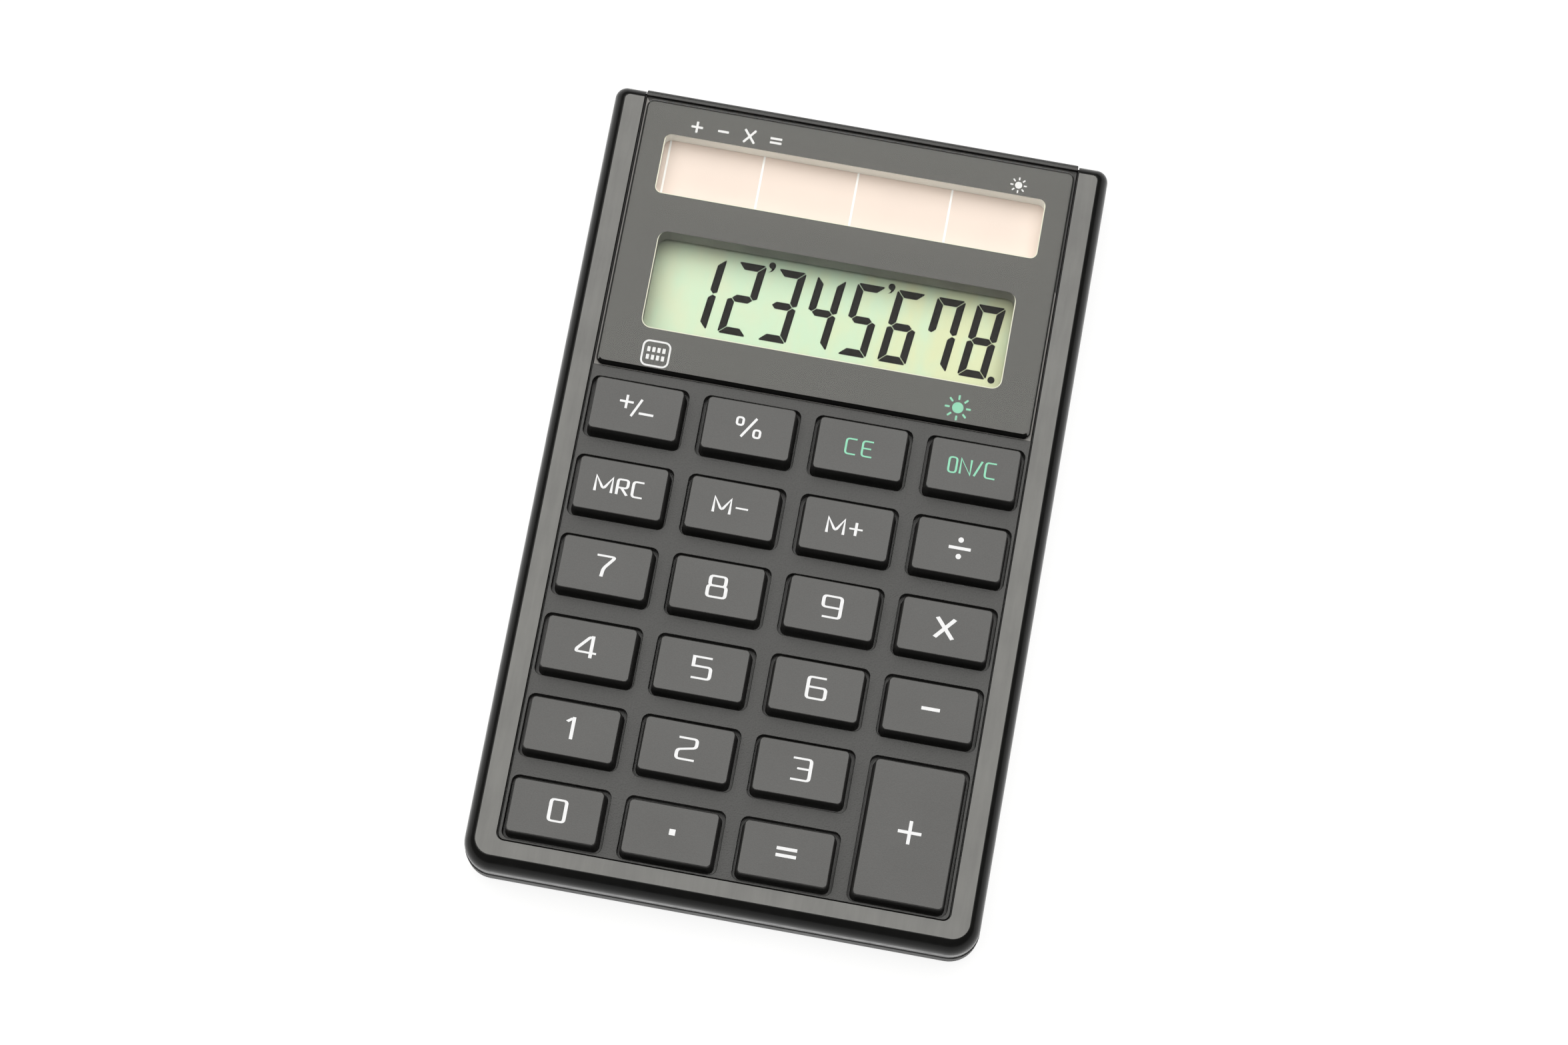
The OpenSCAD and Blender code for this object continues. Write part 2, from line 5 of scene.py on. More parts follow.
import bpy
from mathutils import Euler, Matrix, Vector

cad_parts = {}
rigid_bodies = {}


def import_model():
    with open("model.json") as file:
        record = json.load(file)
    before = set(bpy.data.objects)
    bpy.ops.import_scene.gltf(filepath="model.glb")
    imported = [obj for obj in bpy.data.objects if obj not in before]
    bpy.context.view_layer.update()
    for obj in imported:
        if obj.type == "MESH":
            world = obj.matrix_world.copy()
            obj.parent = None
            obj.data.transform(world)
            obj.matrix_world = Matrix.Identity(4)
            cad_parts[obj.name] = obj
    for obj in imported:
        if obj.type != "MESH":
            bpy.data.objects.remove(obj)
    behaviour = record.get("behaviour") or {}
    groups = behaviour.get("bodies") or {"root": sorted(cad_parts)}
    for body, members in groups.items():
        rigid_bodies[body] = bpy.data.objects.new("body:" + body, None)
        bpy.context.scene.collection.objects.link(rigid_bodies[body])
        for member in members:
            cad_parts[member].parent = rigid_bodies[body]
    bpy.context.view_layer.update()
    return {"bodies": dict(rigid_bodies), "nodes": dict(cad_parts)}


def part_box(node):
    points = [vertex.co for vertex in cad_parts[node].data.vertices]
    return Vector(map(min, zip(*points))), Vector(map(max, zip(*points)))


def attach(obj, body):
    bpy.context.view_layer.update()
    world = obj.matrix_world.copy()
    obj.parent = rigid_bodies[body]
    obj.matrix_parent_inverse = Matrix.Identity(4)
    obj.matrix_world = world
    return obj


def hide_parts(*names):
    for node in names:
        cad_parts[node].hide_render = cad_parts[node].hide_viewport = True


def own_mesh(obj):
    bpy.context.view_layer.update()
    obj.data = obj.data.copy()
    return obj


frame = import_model()

# Lengths below are millimetres; MM turns them into Blender's metres.
MM = 0.001

# ---- camera ----

CAMERA_PLACE = (14.86, -114.79, 490.67)
CAMERA_TURN = (13.271, -0.584, 10.329)  # degrees about X, Y and Z
CAMERA_LENS = 84.18
CAMERA_SENSOR = 36


def make_camera():
    data = bpy.data.cameras.new("camera")
    data.lens = CAMERA_LENS
    data.sensor_width = CAMERA_SENSOR
    camera = bpy.data.objects.new("camera", data)
    camera.location = Vector(CAMERA_PLACE) * MM
    camera.rotation_euler = Euler([math.radians(turn) for turn in CAMERA_TURN])
    bpy.context.scene.collection.objects.link(camera)
    bpy.context.scene.camera = camera


# ---- sizes ----

def node_box(name):
    """Lowest and highest corner of a CAD node, in millimetres."""
    low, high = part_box(name)
    return low / MM, high / MM


case_low, case_high = node_box("rear_case")
bezel_low, bezel_high = node_box("front_bezel")
lens_low, lens_high = node_box("display_lens")
mask_low, mask_high = node_box("lens_mask")
gasket_low, gasket_high = node_box("solar_gasket")
cell_low, cell_high = node_box("solar_cell")
glass_low, glass_high = node_box("lcd_front_glass")
film_low, film_high = node_box("lcd_front_polariser")
mat_low, mat_high = node_box("rubber_keypad")

# Case
SEAM_Z = case_high.z
SEAM_GAP = 0.15
RIM_Z = bezel_high.z
DECK_Z = RIM_Z - 0.6
FRONT_INSET = case_high.x - bezel_high.x  # how far the front half stands back from the rear case
WALL = 1.5
SPIGOT = 0.7
SPIGOT_PLAY = 0.1
FRONT_R = 4.0
BACK_R = 1.6
FOOT_ROUND = 1.0
FLOOR = 1.0

# The rim's convex edge: its widths, its depth and where its arc starts
SIDE_SLOPE = 1.6
FRONT_SLOPE = 1.9
BACK_SLOPE = 1.6
EDGE_DEPTH = 3.2
EDGE_START = 14  # degrees
EDGE_STEPS = 16
EDGE_FOOT = 0.12

# The rim's opening, the panel in it and the rail
OPENING_X = 30.5
OPENING_Y = -51.45
OPENING_R = 1.1
DECK_GAP = 0.2
PLATE_LOW_Z = 7.2
PLATE_TOP_Z = 8.0
PLATE_STEP = 0.4
UNDER_RIM_Z = 8.05
TRAY_Z = 8.6
DECK_END_Y = lens_low.y - 0.15
RAIL_Y = 54.3
RAIL_TOP_Z = 9.3
RAIL_FLAT = 0.3
RAIL_DROP = 2.3

# Screws
SCREW_HEAD_R = 1.5
SCREW_HEAD_H = 0.8
SCREW_SHANK_R = 0.75
SCREW_WELL_R = 1.7
SCREW_WELL_H = 1.4
SCREW_HOLE_R = 0.95
POST_R = 2.2
POST_TOP_Z = 2.2

# Keys
HOLE_W = 13.4
HOLE_L = 8.6
HOLE_R = 1.0
KEY_GAP = 0.33
KEY_DRAFT = 0.33
KEY_CORNER_R = 0.6
KEY_ROUND = 0.18
KEY_SINK = 0.06  # how far a cap stays below its CAD node, so that its print stays inside it
FLANGE_T = 0.8
FLANGE_GAP = 0.1
FLANGE_R = 1.5
FLANGE_EDGE = 0.12
FLANGE_OVERHANG = 0.6  # how much longer a flange is than its hole
CAP_WALL = 1.1
PLUNGER_R = 1.6

# Windows as (middle, width, length, corner radius)
LCD_WINDOW = ((0.0, 28.5), 50.0, 14.0, 1.4)
SOLAR_WINDOW = ((0.0, 45.13), 53.5, 8.7, 1.0)
LENS_BEVEL = 0.45
PRINT_GAP = 0.012  # between faces that would otherwise coincide

KEYS = sorted(body for body in frame["bodies"] if body != "case")
CORNER_STEPS = 8
WINDOW_STEPS = 12

# ---- shapes ----

def arc(centre, radius, start, turn=90, steps=CORNER_STEPS):
    """Points along an arc, with angles in degrees."""
    points = []
    for i in range(steps + 1):
        angle = math.radians(start + turn * i / steps)
        points.append((centre[0] + radius * math.cos(angle), centre[1] + radius * math.sin(angle)))
    return points


def quarter(steps):
    """Sine and cosine at equal steps from 0 to 90 degrees."""
    angles = [math.radians(90 * i / steps) for i in range(steps + 1)]
    return [(math.sin(angle), math.cos(angle)) for angle in angles]


def circle(centre, radius, steps=32):
    return arc(centre, radius, 0, 360, steps)[:-1]


def outline(low, high, low_r, high_r=None, steps=CORNER_STEPS):
    """Anticlockwise rounded rectangle between two corners, with a radius for its low and its high end."""
    high_r = low_r if high_r is None else high_r
    return (
        arc((low[0] + low_r, low[1] + low_r), low_r, 180, steps=steps)
        + arc((high[0] - low_r, low[1] + low_r), low_r, 270, steps=steps)
        + arc((high[0] - high_r, high[1] - high_r), high_r, 0, steps=steps)
        + arc((low[0] + high_r, high[1] - high_r), high_r, 90, steps=steps)
    )


def centred(middle, width, length, r, steps=CORNER_STEPS):
    """Rounded rectangle about a middle point."""
    x, y = middle[0], middle[1]
    return outline((x - width / 2, y - length / 2), (x + width / 2, y + length / 2), r, steps=steps)


def inside_box(low, high, inset, r, steps=CORNER_STEPS):
    """Rounded rectangle inside the sides of a box."""
    return outline((low[0] + inset, low[1] + inset), (high[0] - inset, high[1] - inset), r, steps=steps)


def window_outline(window, grow=0.0, grow_r=0.0, steps=WINDOW_STEPS):
    middle, width, length, r = window
    return centred(middle, width + grow, length + grow, r + grow_r, steps)


def case_outline(side, front, back, front_r, back_r, steps=12):
    """Outline of the case pulled in by its own amount at the sides, the front and the back."""
    low = (case_low.x + side, case_low.y + front)
    high = (case_high.x - side, case_high.y - back)
    return outline(low, high, front_r, back_r, steps)


def inset_outline(inset):
    """The same outline pulled in evenly."""
    return case_outline(inset, inset, inset, FRONT_R - inset / 2, max(0.4, BACK_R - inset))


def shifted(point, by):
    return point[0] + by[0], point[1] + by[1]


def at(points, z):
    return [(x, y, z) for x, y in points]


def solid(name, vertices, faces):
    """A new object from points in millimetres."""
    mesh = bpy.data.meshes.new(name)
    mesh.from_pydata([Vector(v) * MM for v in vertices], [], faces)
    mesh.update()
    made = bpy.data.objects.new(name, mesh)
    bpy.context.scene.collection.objects.link(made)
    return made


def loft(name, rings, closed=False):
    """Solid through rings of points, capped at both ends or joined end to end."""
    count = len(rings[0])
    vertices = [point for ring in rings for point in ring]
    faces = []
    for i in range(len(rings) if closed else len(rings) - 1):
        here, above = i * count, (i + 1) % len(rings) * count
        for j in range(count):
            k = (j + 1) % count
            faces.append((here + j, here + k, above + k, above + j))
    if not closed:
        faces.append(tuple(reversed(range(count))))
        faces.append(tuple(range((len(rings) - 1) * count, len(rings) * count)))
    return solid(name, vertices, faces)


def prism(name, points, low_z, high_z):
    return loft(name, [at(points, low_z), at(points, high_z)])


def turned(name, centre, profile):
    """Round solid from its profile of (radius, height), from the foot to the top."""
    return loft(name, [at(circle(centre, r), z) for r, z in profile])


def frame_prism(name, inner, outer, low_z, high_z):
    """A flat ring between two outlines with the same number of points."""
    rings = [at(inner, high_z), at(inner, low_z), at(outer, low_z), at(outer, high_z)]
    return loft(name, rings, closed=True)


def gather(name, solids):
    """Joins separate solids into one object."""
    vertices, faces = [], []
    for one in solids:
        start = len(vertices)
        vertices += [v.co / MM for v in one.data.vertices]
        faces += [tuple(start + i for i in face.vertices) for face in one.data.polygons]
        bpy.data.objects.remove(one)
    return solid(name, vertices, faces)


def apply_modifiers(piece):
    graph = bpy.context.evaluated_depsgraph_get()
    mesh = bpy.data.meshes.new_from_object(piece.evaluated_get(graph))
    piece.modifiers.clear()
    piece.data = mesh
    return piece


def combine(piece, others, operation="DIFFERENCE"):
    """Cuts other solids out of a piece, or joins them to it, and removes them."""
    for other in others:
        modifier = piece.modifiers.new("combine", "BOOLEAN")
        modifier.operation = operation
        modifier.solver = "EXACT"
        modifier.object = other
        apply_modifiers(piece)
        bpy.data.objects.remove(other)
    return piece


def fuse(name, solids):
    """One solid from overlapping ones."""
    whole = combine(solids[0], solids[1:], "UNION")
    whole.name = name
    return shade(whole, 30)


def soften(piece, width, segments=2, angle=35):
    """Rounds the sharp edges of a piece."""
    bevel = piece.modifiers.new("bevel", "BEVEL")
    bevel.width = width * MM
    bevel.segments = segments
    bevel.limit_method = "ANGLE"
    bevel.angle_limit = math.radians(angle)
    bevel.use_clamp_overlap = True
    return apply_modifiers(piece)


def shade(piece, angle=35):
    """Smooth shading that keeps flat faces flat and edges above an angle sharp."""
    piece.data.shade_smooth()
    piece.data.set_sharp_from_angle(angle=math.radians(angle))
    normals = piece.modifiers.new("normals", "WEIGHTED_NORMAL")
    normals.keep_sharp = True
    return apply_modifiers(piece)


# ---- materials ----

MATERIALS = {}


class Shader:
    """A new material and its node tree, with short calls to add nodes."""

    def __init__(self, name):
        material = bpy.data.materials.new(name)
        material.use_nodes = True
        MATERIALS[name] = material
        self.tree = material.node_tree
        self.tree.nodes.clear()
        self.output = self.tree.nodes.new("ShaderNodeOutputMaterial")
        self.object_point = self.add("TexCoord").outputs["Object"]

    def add(self, kind, settings=None, **inputs):
        """Adds a node; an underscore in an input's name stands for a space."""
        node = self.tree.nodes.new("ShaderNode" + kind)
        for key, value in (settings or {}).items():
            setattr(node, key, value)
        for key, value in inputs.items():
            self.put(node, key.replace("_", " "), value)
        return node

    def put(self, node, socket, value):
        """Sets an input, or links it when the value comes from another node."""
        if isinstance(value, bpy.types.NodeSocket):
            self.tree.links.new(value, node.inputs[socket])
        else:
            node.inputs[socket].default_value = value

    def noise(self, size, detail=3, stretch=(1, 1, 1)):
        """Noise from 0 to 1 with features about size millimetres across, drawn out by stretch."""
        scale = tuple(1 / (size * MM * s) for s in stretch)
        point = self.add("Mapping", Vector=self.object_point, Scale=scale)
        return self.add("TexNoise", Vector=point.outputs[0], Scale=1.0, Detail=float(detail)).outputs[0]

    def spread(self, value, low, high, from_low=0.3, from_high=0.7):
        """Maps noise onto a range."""
        ends = {"From_Min": from_low, "From_Max": from_high, "To_Min": low, "To_Max": high}
        return self.add("MapRange", Value=value, **ends).outputs[0]

    def total(self, first, second, share=1.0):
        """The first value times a share, plus the second."""
        node = self.add("Math", {"operation": "MULTIPLY_ADD"})
        for i, value in enumerate((first, share, second)):
            self.put(node, i, value)
        return node.outputs[0]

    def ramp(self, value, colors):
        """Colour between several, given as (position, colour)."""
        node = self.add("ValToRGB", Fac=value)
        stops = node.color_ramp.elements
        while len(stops) < len(colors):
            stops.new(0.5)
        for stop, (position, color) in zip(stops, colors):
            stop.position = position
            stop.color = (*color, 1)
        return node.outputs[0]

    def cloudy(self, fine, broad, color, change):
        """Colour that gets darker and lighter with two noises together."""
        both = self.spread(self.total(fine, broad), 0, 1, 0.75, 1.25)
        return self.ramp(both, [(0, tinted(color, 1 - change)), (1, tinted(color, 1 + change))])

    def patchy(self, noise, color, share):
        """Colour that is darker, down to a share of it, where the noise is low."""
        return self.ramp(noise, [(0.3, tinted(color, share)), (0.7, color)])

    def bump(self, height, strength, distance):
        return self.add("Bump", Strength=strength, Distance=distance * MM, Height=height).outputs[0]

    def principled(self, **inputs):
        self.finish(self.add("BsdfPrincipled", **inputs))

    def finish(self, shader):
        self.put(self.output, "Surface", shader.outputs[0])


def tinted(color, share):
    return tuple(min(1, c * share) for c in color)


def plastic(name, color, roughness, grain=0.2, grain_height=0.01, mottle=0.06, smear=0.04, ior=1.5):
    """Moulded plastic: a fine surface grain, faint cloudiness in its colour and uneven gloss."""
    look = Shader(name)
    fine = look.noise(grain, 2)
    broad = look.noise(9, 4)
    look.principled(
        Base_Color=look.cloudy(fine, broad, color, mottle),
        Roughness=look.spread(broad, roughness - smear, roughness + smear),
        Normal=look.bump(fine, 1.0, grain_height),
        IOR=ior,
    )


def gloss_plastic(name, color, roughness, streak=(1, 1, 1), ior=1.5, smear=0.1):
    """Polished plastic: hardly any grain, with wiped streaks and smudges."""
    look = Shader(name)
    streaks = look.noise(1.6, 3, streak)
    wave = look.noise(7, 4)
    look.principled(
        Base_Color=look.cloudy(streaks, wave, color, smear),
        Roughness=look.spread(streaks, roughness * 0.8, roughness * 1.3),
        Normal=look.bump(streaks, 0.35, 0.004),
        IOR=ior,
    )


def clear(name, tint, ior, roughness):
    """Thin clear sheet that lets light straight through and reflects at its faces."""
    look = Shader(name)
    smudge = look.noise(11, 4)
    fresnel = look.add("Fresnel", IOR=ior)
    through = look.add("BsdfTransparent", Color=(*tint, 1))
    gloss = look.add("BsdfGlossy", Color=(1, 1, 1, 1))
    look.put(gloss, "Roughness", look.spread(smudge, roughness * 0.8, roughness * 1.3))
    mixed = look.add("MixShader")
    for i, part in enumerate((fresnel, through, gloss)):
        look.put(mixed, i, part.outputs[0])
    look.finish(mixed)


def ink(name, color, roughness=0.45, ior=1.45):
    """Printed ink, a little uneven where it is thin."""
    look = Shader(name)
    patch = look.noise(0.5, 3)
    look.principled(
        Base_Color=look.patchy(patch, color, 0.93),
        Roughness=look.spread(patch, roughness - 0.05, roughness + 0.05),
        Normal=look.bump(patch, 0.5, 0.004),
        IOR=ior,
    )


def metal(name, color, roughness):
    """Plated steel with turned marks."""
    look = Shader(name)
    marks = look.noise(0.25, 3, (1, 4, 1))
    look.principled(
        Base_Color=look.patchy(marks, color, 0.85),
        Roughness=look.spread(marks, roughness - 0.08, roughness + 0.1),
        Normal=look.bump(marks, 0.4, 0.006),
        Metallic=1.0,
    )


def reflector_film(name):
    """Satin reflector of the display: a fine speckle with upright cloudy bands, yellower to the right."""
    look = Shader(name)
    speckle = look.noise(0.2, 3)
    bands = look.noise(2.4, 3, (1, 2.6, 1))
    place_x = look.add("SeparateXYZ", Vector=look.object_point).outputs[0]
    half_width = LCD_WINDOW[1] / 2 * MM
    across = look.spread(place_x, -0.62, 0.42, -half_width, half_width)
    tone = look.ramp(look.total(bands, across, 1.3), [
        (0, (0.553, 0.623, 0.462)),
        (0.45, (0.50, 0.64, 0.485)),
        (1, (0.578, 0.614, 0.407)),
    ])
    grain = look.ramp(look.spread(speckle, 0, 1, 0.35, 0.65), [(0, (0.93, 0.93, 0.93)), (1, (1, 1, 1))])
    mixed = look.add("MixRGB", {"blend_type": "MULTIPLY"}, Fac=1.0, Color1=tone, Color2=grain)
    look.principled(
        Base_Color=mixed.outputs[0],
        Roughness=0.5,
        Normal=look.bump(speckle, 0.3, 0.004),
        Metallic=0.4,
        IOR=1.2,
    )


def solar_film(name):
    """Amorphous solar film seen through its glass, in a warm pale tone."""
    look = Shader(name)
    both = look.total(look.noise(0.3, 3), look.noise(7, 3), 0.3)
    shown = look.ramp(look.spread(both, 0, 1, 0.4, 0.85), [
        (0, (0.70, 0.595, 0.54)),
        (1, (0.73, 0.62, 0.56)),
    ])
    look.principled(Base_Color=shown, Roughness=0.35, IOR=1.4)


def board_mask(name):
    """Green solder mask with the faint relief of the tracks beneath it."""
    look = Shader(name)
    cells = {"distance": "CHEBYCHEV", "feature": "F1"}
    tracks = look.add("TexVoronoi", cells, Vector=look.object_point, Scale=1 / (2.4 * MM)).outputs[0]
    look.principled(
        Base_Color=look.ramp(tracks, [(0.28, (0.03, 0.2, 0.08)), (0.34, (0.02, 0.14, 0.055))]),
        Roughness=look.spread(look.noise(0.6, 2), 0.22, 0.4),
        Normal=look.bump(tracks, 0.5, 0.02),
        IOR=1.5,
    )


def silicone_rubber(name, color):
    """Moulded silicone, slightly translucent."""
    look = Shader(name)
    dust = look.noise(0.4, 3)
    look.principled(
        Base_Color=look.patchy(dust, color, 0.92),
        Roughness=look.spread(dust, 0.5, 0.65),
        Normal=look.bump(dust, 0.5, 0.006),
        IOR=1.41,
        Subsurface_Weight=0.15,
        Subsurface_Radius=(0.001, 0.001, 0.001),
    )


def floor_paper(name, glow):
    """Pale studio paper, lit a little from itself so that it stays white."""
    look = Shader(name)
    look.principled(
        Base_Color=look.ramp(look.noise(30), [(0.3, (0.19, 0.19, 0.19)), (0.7, (0.21, 0.21, 0.21))]),
        Roughness=0.9,
        Emission_Color=(1, 1, 1, 1),
        Emission_Strength=glow,
    )


def make_materials():
    gloss_plastic("gloss_rim", (0.072, 0.0715, 0.067), 0.16, (0.8, 6, 1), ior=1.6, smear=0.2)
    # Painted shade: a near-black copy of the rim's gloss with a weak reflection, for the rim's slopes and
    # the lens's dark edge
    gloss_plastic("painted_shade_gloss", (0.007, 0.007, 0.0068), 0.2, ior=1.22)
    plastic("matte_panel", (0.012, 0.0119, 0.0115), 0.46, 0.22, 0.05, 0.6, ior=1.57)
    # Painted light: a much lighter copy of the panel's black, for the walls round the display
    plastic("painted_light_wall", (0.27, 0.26, 0.25), 0.5, 0.3, 0.01, 0.08)
    plastic("key_plastic", (0.0185, 0.0181, 0.0175), 0.42, 0.16, 0.02, 0.3, ior=1.64)
    plastic("rear_plastic", (0.020, 0.020, 0.0195), 0.5, 0.22, 0.014, 0.10)
    metal("screw_steel", (0.62, 0.62, 0.63), 0.35)
    clear("clear_lens", (0.995, 0.995, 0.99), 1.22, 0.03)
    clear("clear_inner", (0.995, 0.996, 0.993), 1.0, 0.05)
    ink("mask_print", (0.072, 0.0712, 0.068), 0.5)
    plastic("tape", (0.02, 0.02, 0.02), 0.8, 0.3, 0.01, 0.08)
    clear("display_glass", (0.992, 0.996, 0.99), 1.03, 0.08)
    reflector_film("reflector")
    gloss_plastic("ribbon", (0.6, 0.28, 0.06), 0.3, (1, 6, 1))
    solar_film("solar_cell")
    plastic("gasket_foam", (0.88, 0.90, 0.87), 0.85, 0.25, 0.03, 0.04)
    gloss_plastic("wire_red", (0.5, 0.02, 0.012), 0.35)
    gloss_plastic("wire_black", (0.02, 0.02, 0.02), 0.35)
    plastic("bracket_plastic", (0.72, 0.72, 0.69), 0.45, 0.3, 0.01, 0.03)
    board_mask("board")
    plastic("carbon", (0.02, 0.02, 0.021), 0.6, 0.1, 0.006, 0.12)
    gloss_plastic("epoxy", (0.012, 0.012, 0.012), 0.2)
    gloss_plastic("capacitor_sleeve", (0.02, 0.035, 0.16), 0.3)
    gloss_plastic("diode_glass", (0.5, 0.12, 0.03), 0.12)
    plastic("resistor", (0.015, 0.015, 0.015), 0.4, 0.2, 0.004, 0.1)
    silicone_rubber("silicone", (0.62, 0.62, 0.59))
    plastic("pill", (0.02, 0.02, 0.02), 0.65, 0.15, 0.006, 0.1)
    ink("legend_white", (0.74, 0.745, 0.765))
    ink("legend_green", (0.225, 0.60, 0.41))
    ink("lcd_segment", (0.010, 0.009, 0.008), 0.6, ior=1.1)
    # Painted highlight: a pale line for the glint along the windows' edges
    ink("painted_glint_line", (0.78, 0.78, 0.64), 0.4)
    ink("strip_line", (0.95, 0.95, 0.95), 0.4)
    floor_paper("floor_paper", 0.84)


def paint(piece, *finishes, pick=None):
    """Gives a piece its materials; pick tells which of them a face gets."""
    piece.data.materials.clear()
    for finish in finishes:
        piece.data.materials.append(MATERIALS[finish])
    if pick:
        for face in piece.data.polygons:
            face.material_index = pick(face)


def place(piece, finish, body="case", stands_for=()):
    """Gives a finished piece its material and body, and hides the CAD nodes that it stands for."""
    paint(piece, finish)
    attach(piece, body)
    if stands_for:
        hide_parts(*stands_for)


# ---- case ----

def edge_share(i):
    """How far out and down a point of the convex edge lies, as shares of its width and depth."""
    start = math.radians(EDGE_START)
    angle = start + (math.pi / 2 - start) * i / EDGE_STEPS
    out = (math.sin(angle) - math.sin(start)) / (1 - math.sin(start))
    down = (math.cos(start) - math.cos(angle)) / math.cos(start)
    return out, down


def edge_outline(back):
    """Outline of the rim, pulled back by a share of its convex edge's width."""
    return case_outline(
        FRONT_INSET + back * SIDE_SLOPE,
        FRONT_INSET + back * FRONT_SLOPE,
        FRONT_INSET + back * BACK_SLOPE,
        FRONT_R - back * 1.7,
        BACK_R - back * 0.9,
    )


def make_gloss_rim():
    """U-shaped rim, flat on top and convex down to the seam, with its spigot and two small stops. Its
    slopes carry painted shade: a darker copy of its gloss with a weaker reflection.
    """
    foot_z = SEAM_Z + SEAM_GAP
    inside = inset_outline(FRONT_INSET + WALL)
    spigot = inset_outline(FRONT_INSET + WALL - SPIGOT)
    foot_inset = FRONT_INSET + EDGE_FOOT
    foot = case_outline(foot_inset, foot_inset, foot_inset, FRONT_R - EDGE_FOOT, BACK_R - EDGE_FOOT)
    rings = [
        at(inside, UNDER_RIM_Z), at(inside, bezel_low.z), at(spigot, bezel_low.z), at(spigot, foot_z),
        at(foot, foot_z), at(edge_outline(0), foot_z + EDGE_FOOT),
    ]
    for i in reversed(range(EDGE_STEPS + 1)):
        out, down = edge_share(i)
        rings.append(at(edge_outline(1 - out), RIM_Z - down * EDGE_DEPTH))
    rim = loft("bezel_rim", rings)
    opening = outline((-OPENING_X, OPENING_Y), (OPENING_X, case_high.y + 1), OPENING_R, 0.01)
    combine(rim, [prism("opening", opening, 0, RIM_Z + 1)])
    stop_y, stop_w, stop_l, stop_low_z, stop_top_z = 54.85, 0.34, 1.1, 4.3, 6.6
    stops = []
    for side in (-1, 1):
        stop = centred((side * OPENING_X, stop_y), stop_w, stop_l, 0.05, 3)
        stops.append(prism("stop", stop, stop_low_z, stop_top_z))
    combine(rim, [gather("stops", stops)], "UNION")
    shade(soften(rim, 0.12, 3, 50), 40)
    place(rim, "gloss_rim", stands_for=["front_bezel"])

    def on_slope(face):
        return not (face.normal.z > 0.97 and face.center.z > (RIM_Z - 0.1) * MM)

    # Painted shade: every face but the flat top gets the darker copy of the gloss, so that the slopes
    # read black
    paint(rim, "gloss_rim", "painted_shade_gloss", pick=on_slope)


def screw_places(name):
    """Middle of each screw of a CAD node that holds several, from the points of its mesh."""
    widest_screw = 4
    groups = []
    for vertex in frame["nodes"][name].data.vertices:
        point = vertex.co.xy / MM
        near = [group for group in groups if (group[0] - point).length < widest_screw]
        if near:
            near[0].append(point)
        else:
            groups.append([point])
    middles = []
    for group in groups:
        xs = [point.x for point in group]
        ys = [point.y for point in group]
        middles.append(((min(xs) + max(xs)) / 2, (min(ys) + max(ys)) / 2))
    return middles


def make_rear_case():
    """Rear tray with a rounded foot, screw wells and a shallow recess for a plain label."""
    rings = []
    for sine, cosine in quarter(8):
        inset = FOOT_ROUND * (1 - sine)
        points = case_outline(inset, inset, inset, FRONT_R - inset / 2, BACK_R - inset / 2)
        rings.append(at(points, FOOT_ROUND * (1 - cosine)))
    lip = 0.15
    rebate = FRONT_INSET + WALL - SPIGOT - SPIGOT_PLAY
    rebate_z = bezel_low.z - SPIGOT_PLAY
    for inset, z in (
        (0, SEAM_Z - lip), (lip, SEAM_Z), (rebate, SEAM_Z),
        (rebate, rebate_z), (WALL, rebate_z), (WALL, FLOOR),
    ):
        rings.append(at(inset_outline(inset), z))
    tray = loft("rear_case_shell", rings)
    places = screw_places("case_screws")
    posts = [prism("post", circle(middle, POST_R), FLOOR - 0.3, POST_TOP_Z) for middle in places]
    combine(tray, [gather("posts", posts)], "UNION")
    wells = [prism("well", circle(middle, SCREW_WELL_R), -1, SCREW_WELL_H) for middle in places]
    holes = [prism("hole", circle(middle, SCREW_HOLE_R, 24), 1, 3) for middle in places]
    label = prism("label", centred((0, 22), 40, 16, 1), -1, 0.2)
    combine(tray, [gather("wells", wells), gather("holes", holes), label])
    shade(soften(tray, 0.1, 2, 50), 40)
    place(tray, "rear_plastic", stands_for=["rear_case"])


def make_case_screws():
    """Screws with domed heads and cross recesses."""
    low, high = node_box("case_screws")
    dome_h = 0.35
    head = []
    for share in (0, 0.35, 0.65, 0.9, 1):
        head.append((SCREW_HEAD_R * math.sin(math.radians(20 + 70 * share)), low.z + dome_h * share))
    shank = [
        (SCREW_HEAD_R, low.z + SCREW_HEAD_H), (SCREW_SHANK_R, low.z + SCREW_HEAD_H),
        (SCREW_SHANK_R, high.z - 0.5), (0.3, high.z),
    ]
    slot_l, slot_w, slot_h = 1.7, 0.34, 0.45
    screws = []
    for middle in screw_places("case_screws"):
        slots = []
        for size in ((slot_l, slot_w), (slot_w, slot_l)):
            slots.append(prism("slot", centred(middle, *size, 0.1, 3), low.z - 1, low.z + slot_h))
        screws.append(combine(turned("screw", middle, head + shank), slots))
    screw_set = gather("case_screw_set", screws)
    shade(soften(screw_set, 0.04, 2, 50), 40)
    place(screw_set, "screw_steel", stands_for=["case_screws"])


def key_middle(key):
    low, high = node_box(key)
    return (low + high) / 2


def key_extra_length(key):
    """How much longer a key is than the usual one."""
    low, high = node_box(key)
    return (high.y - low.y) - (HOLE_L + FLANGE_OVERHANG)


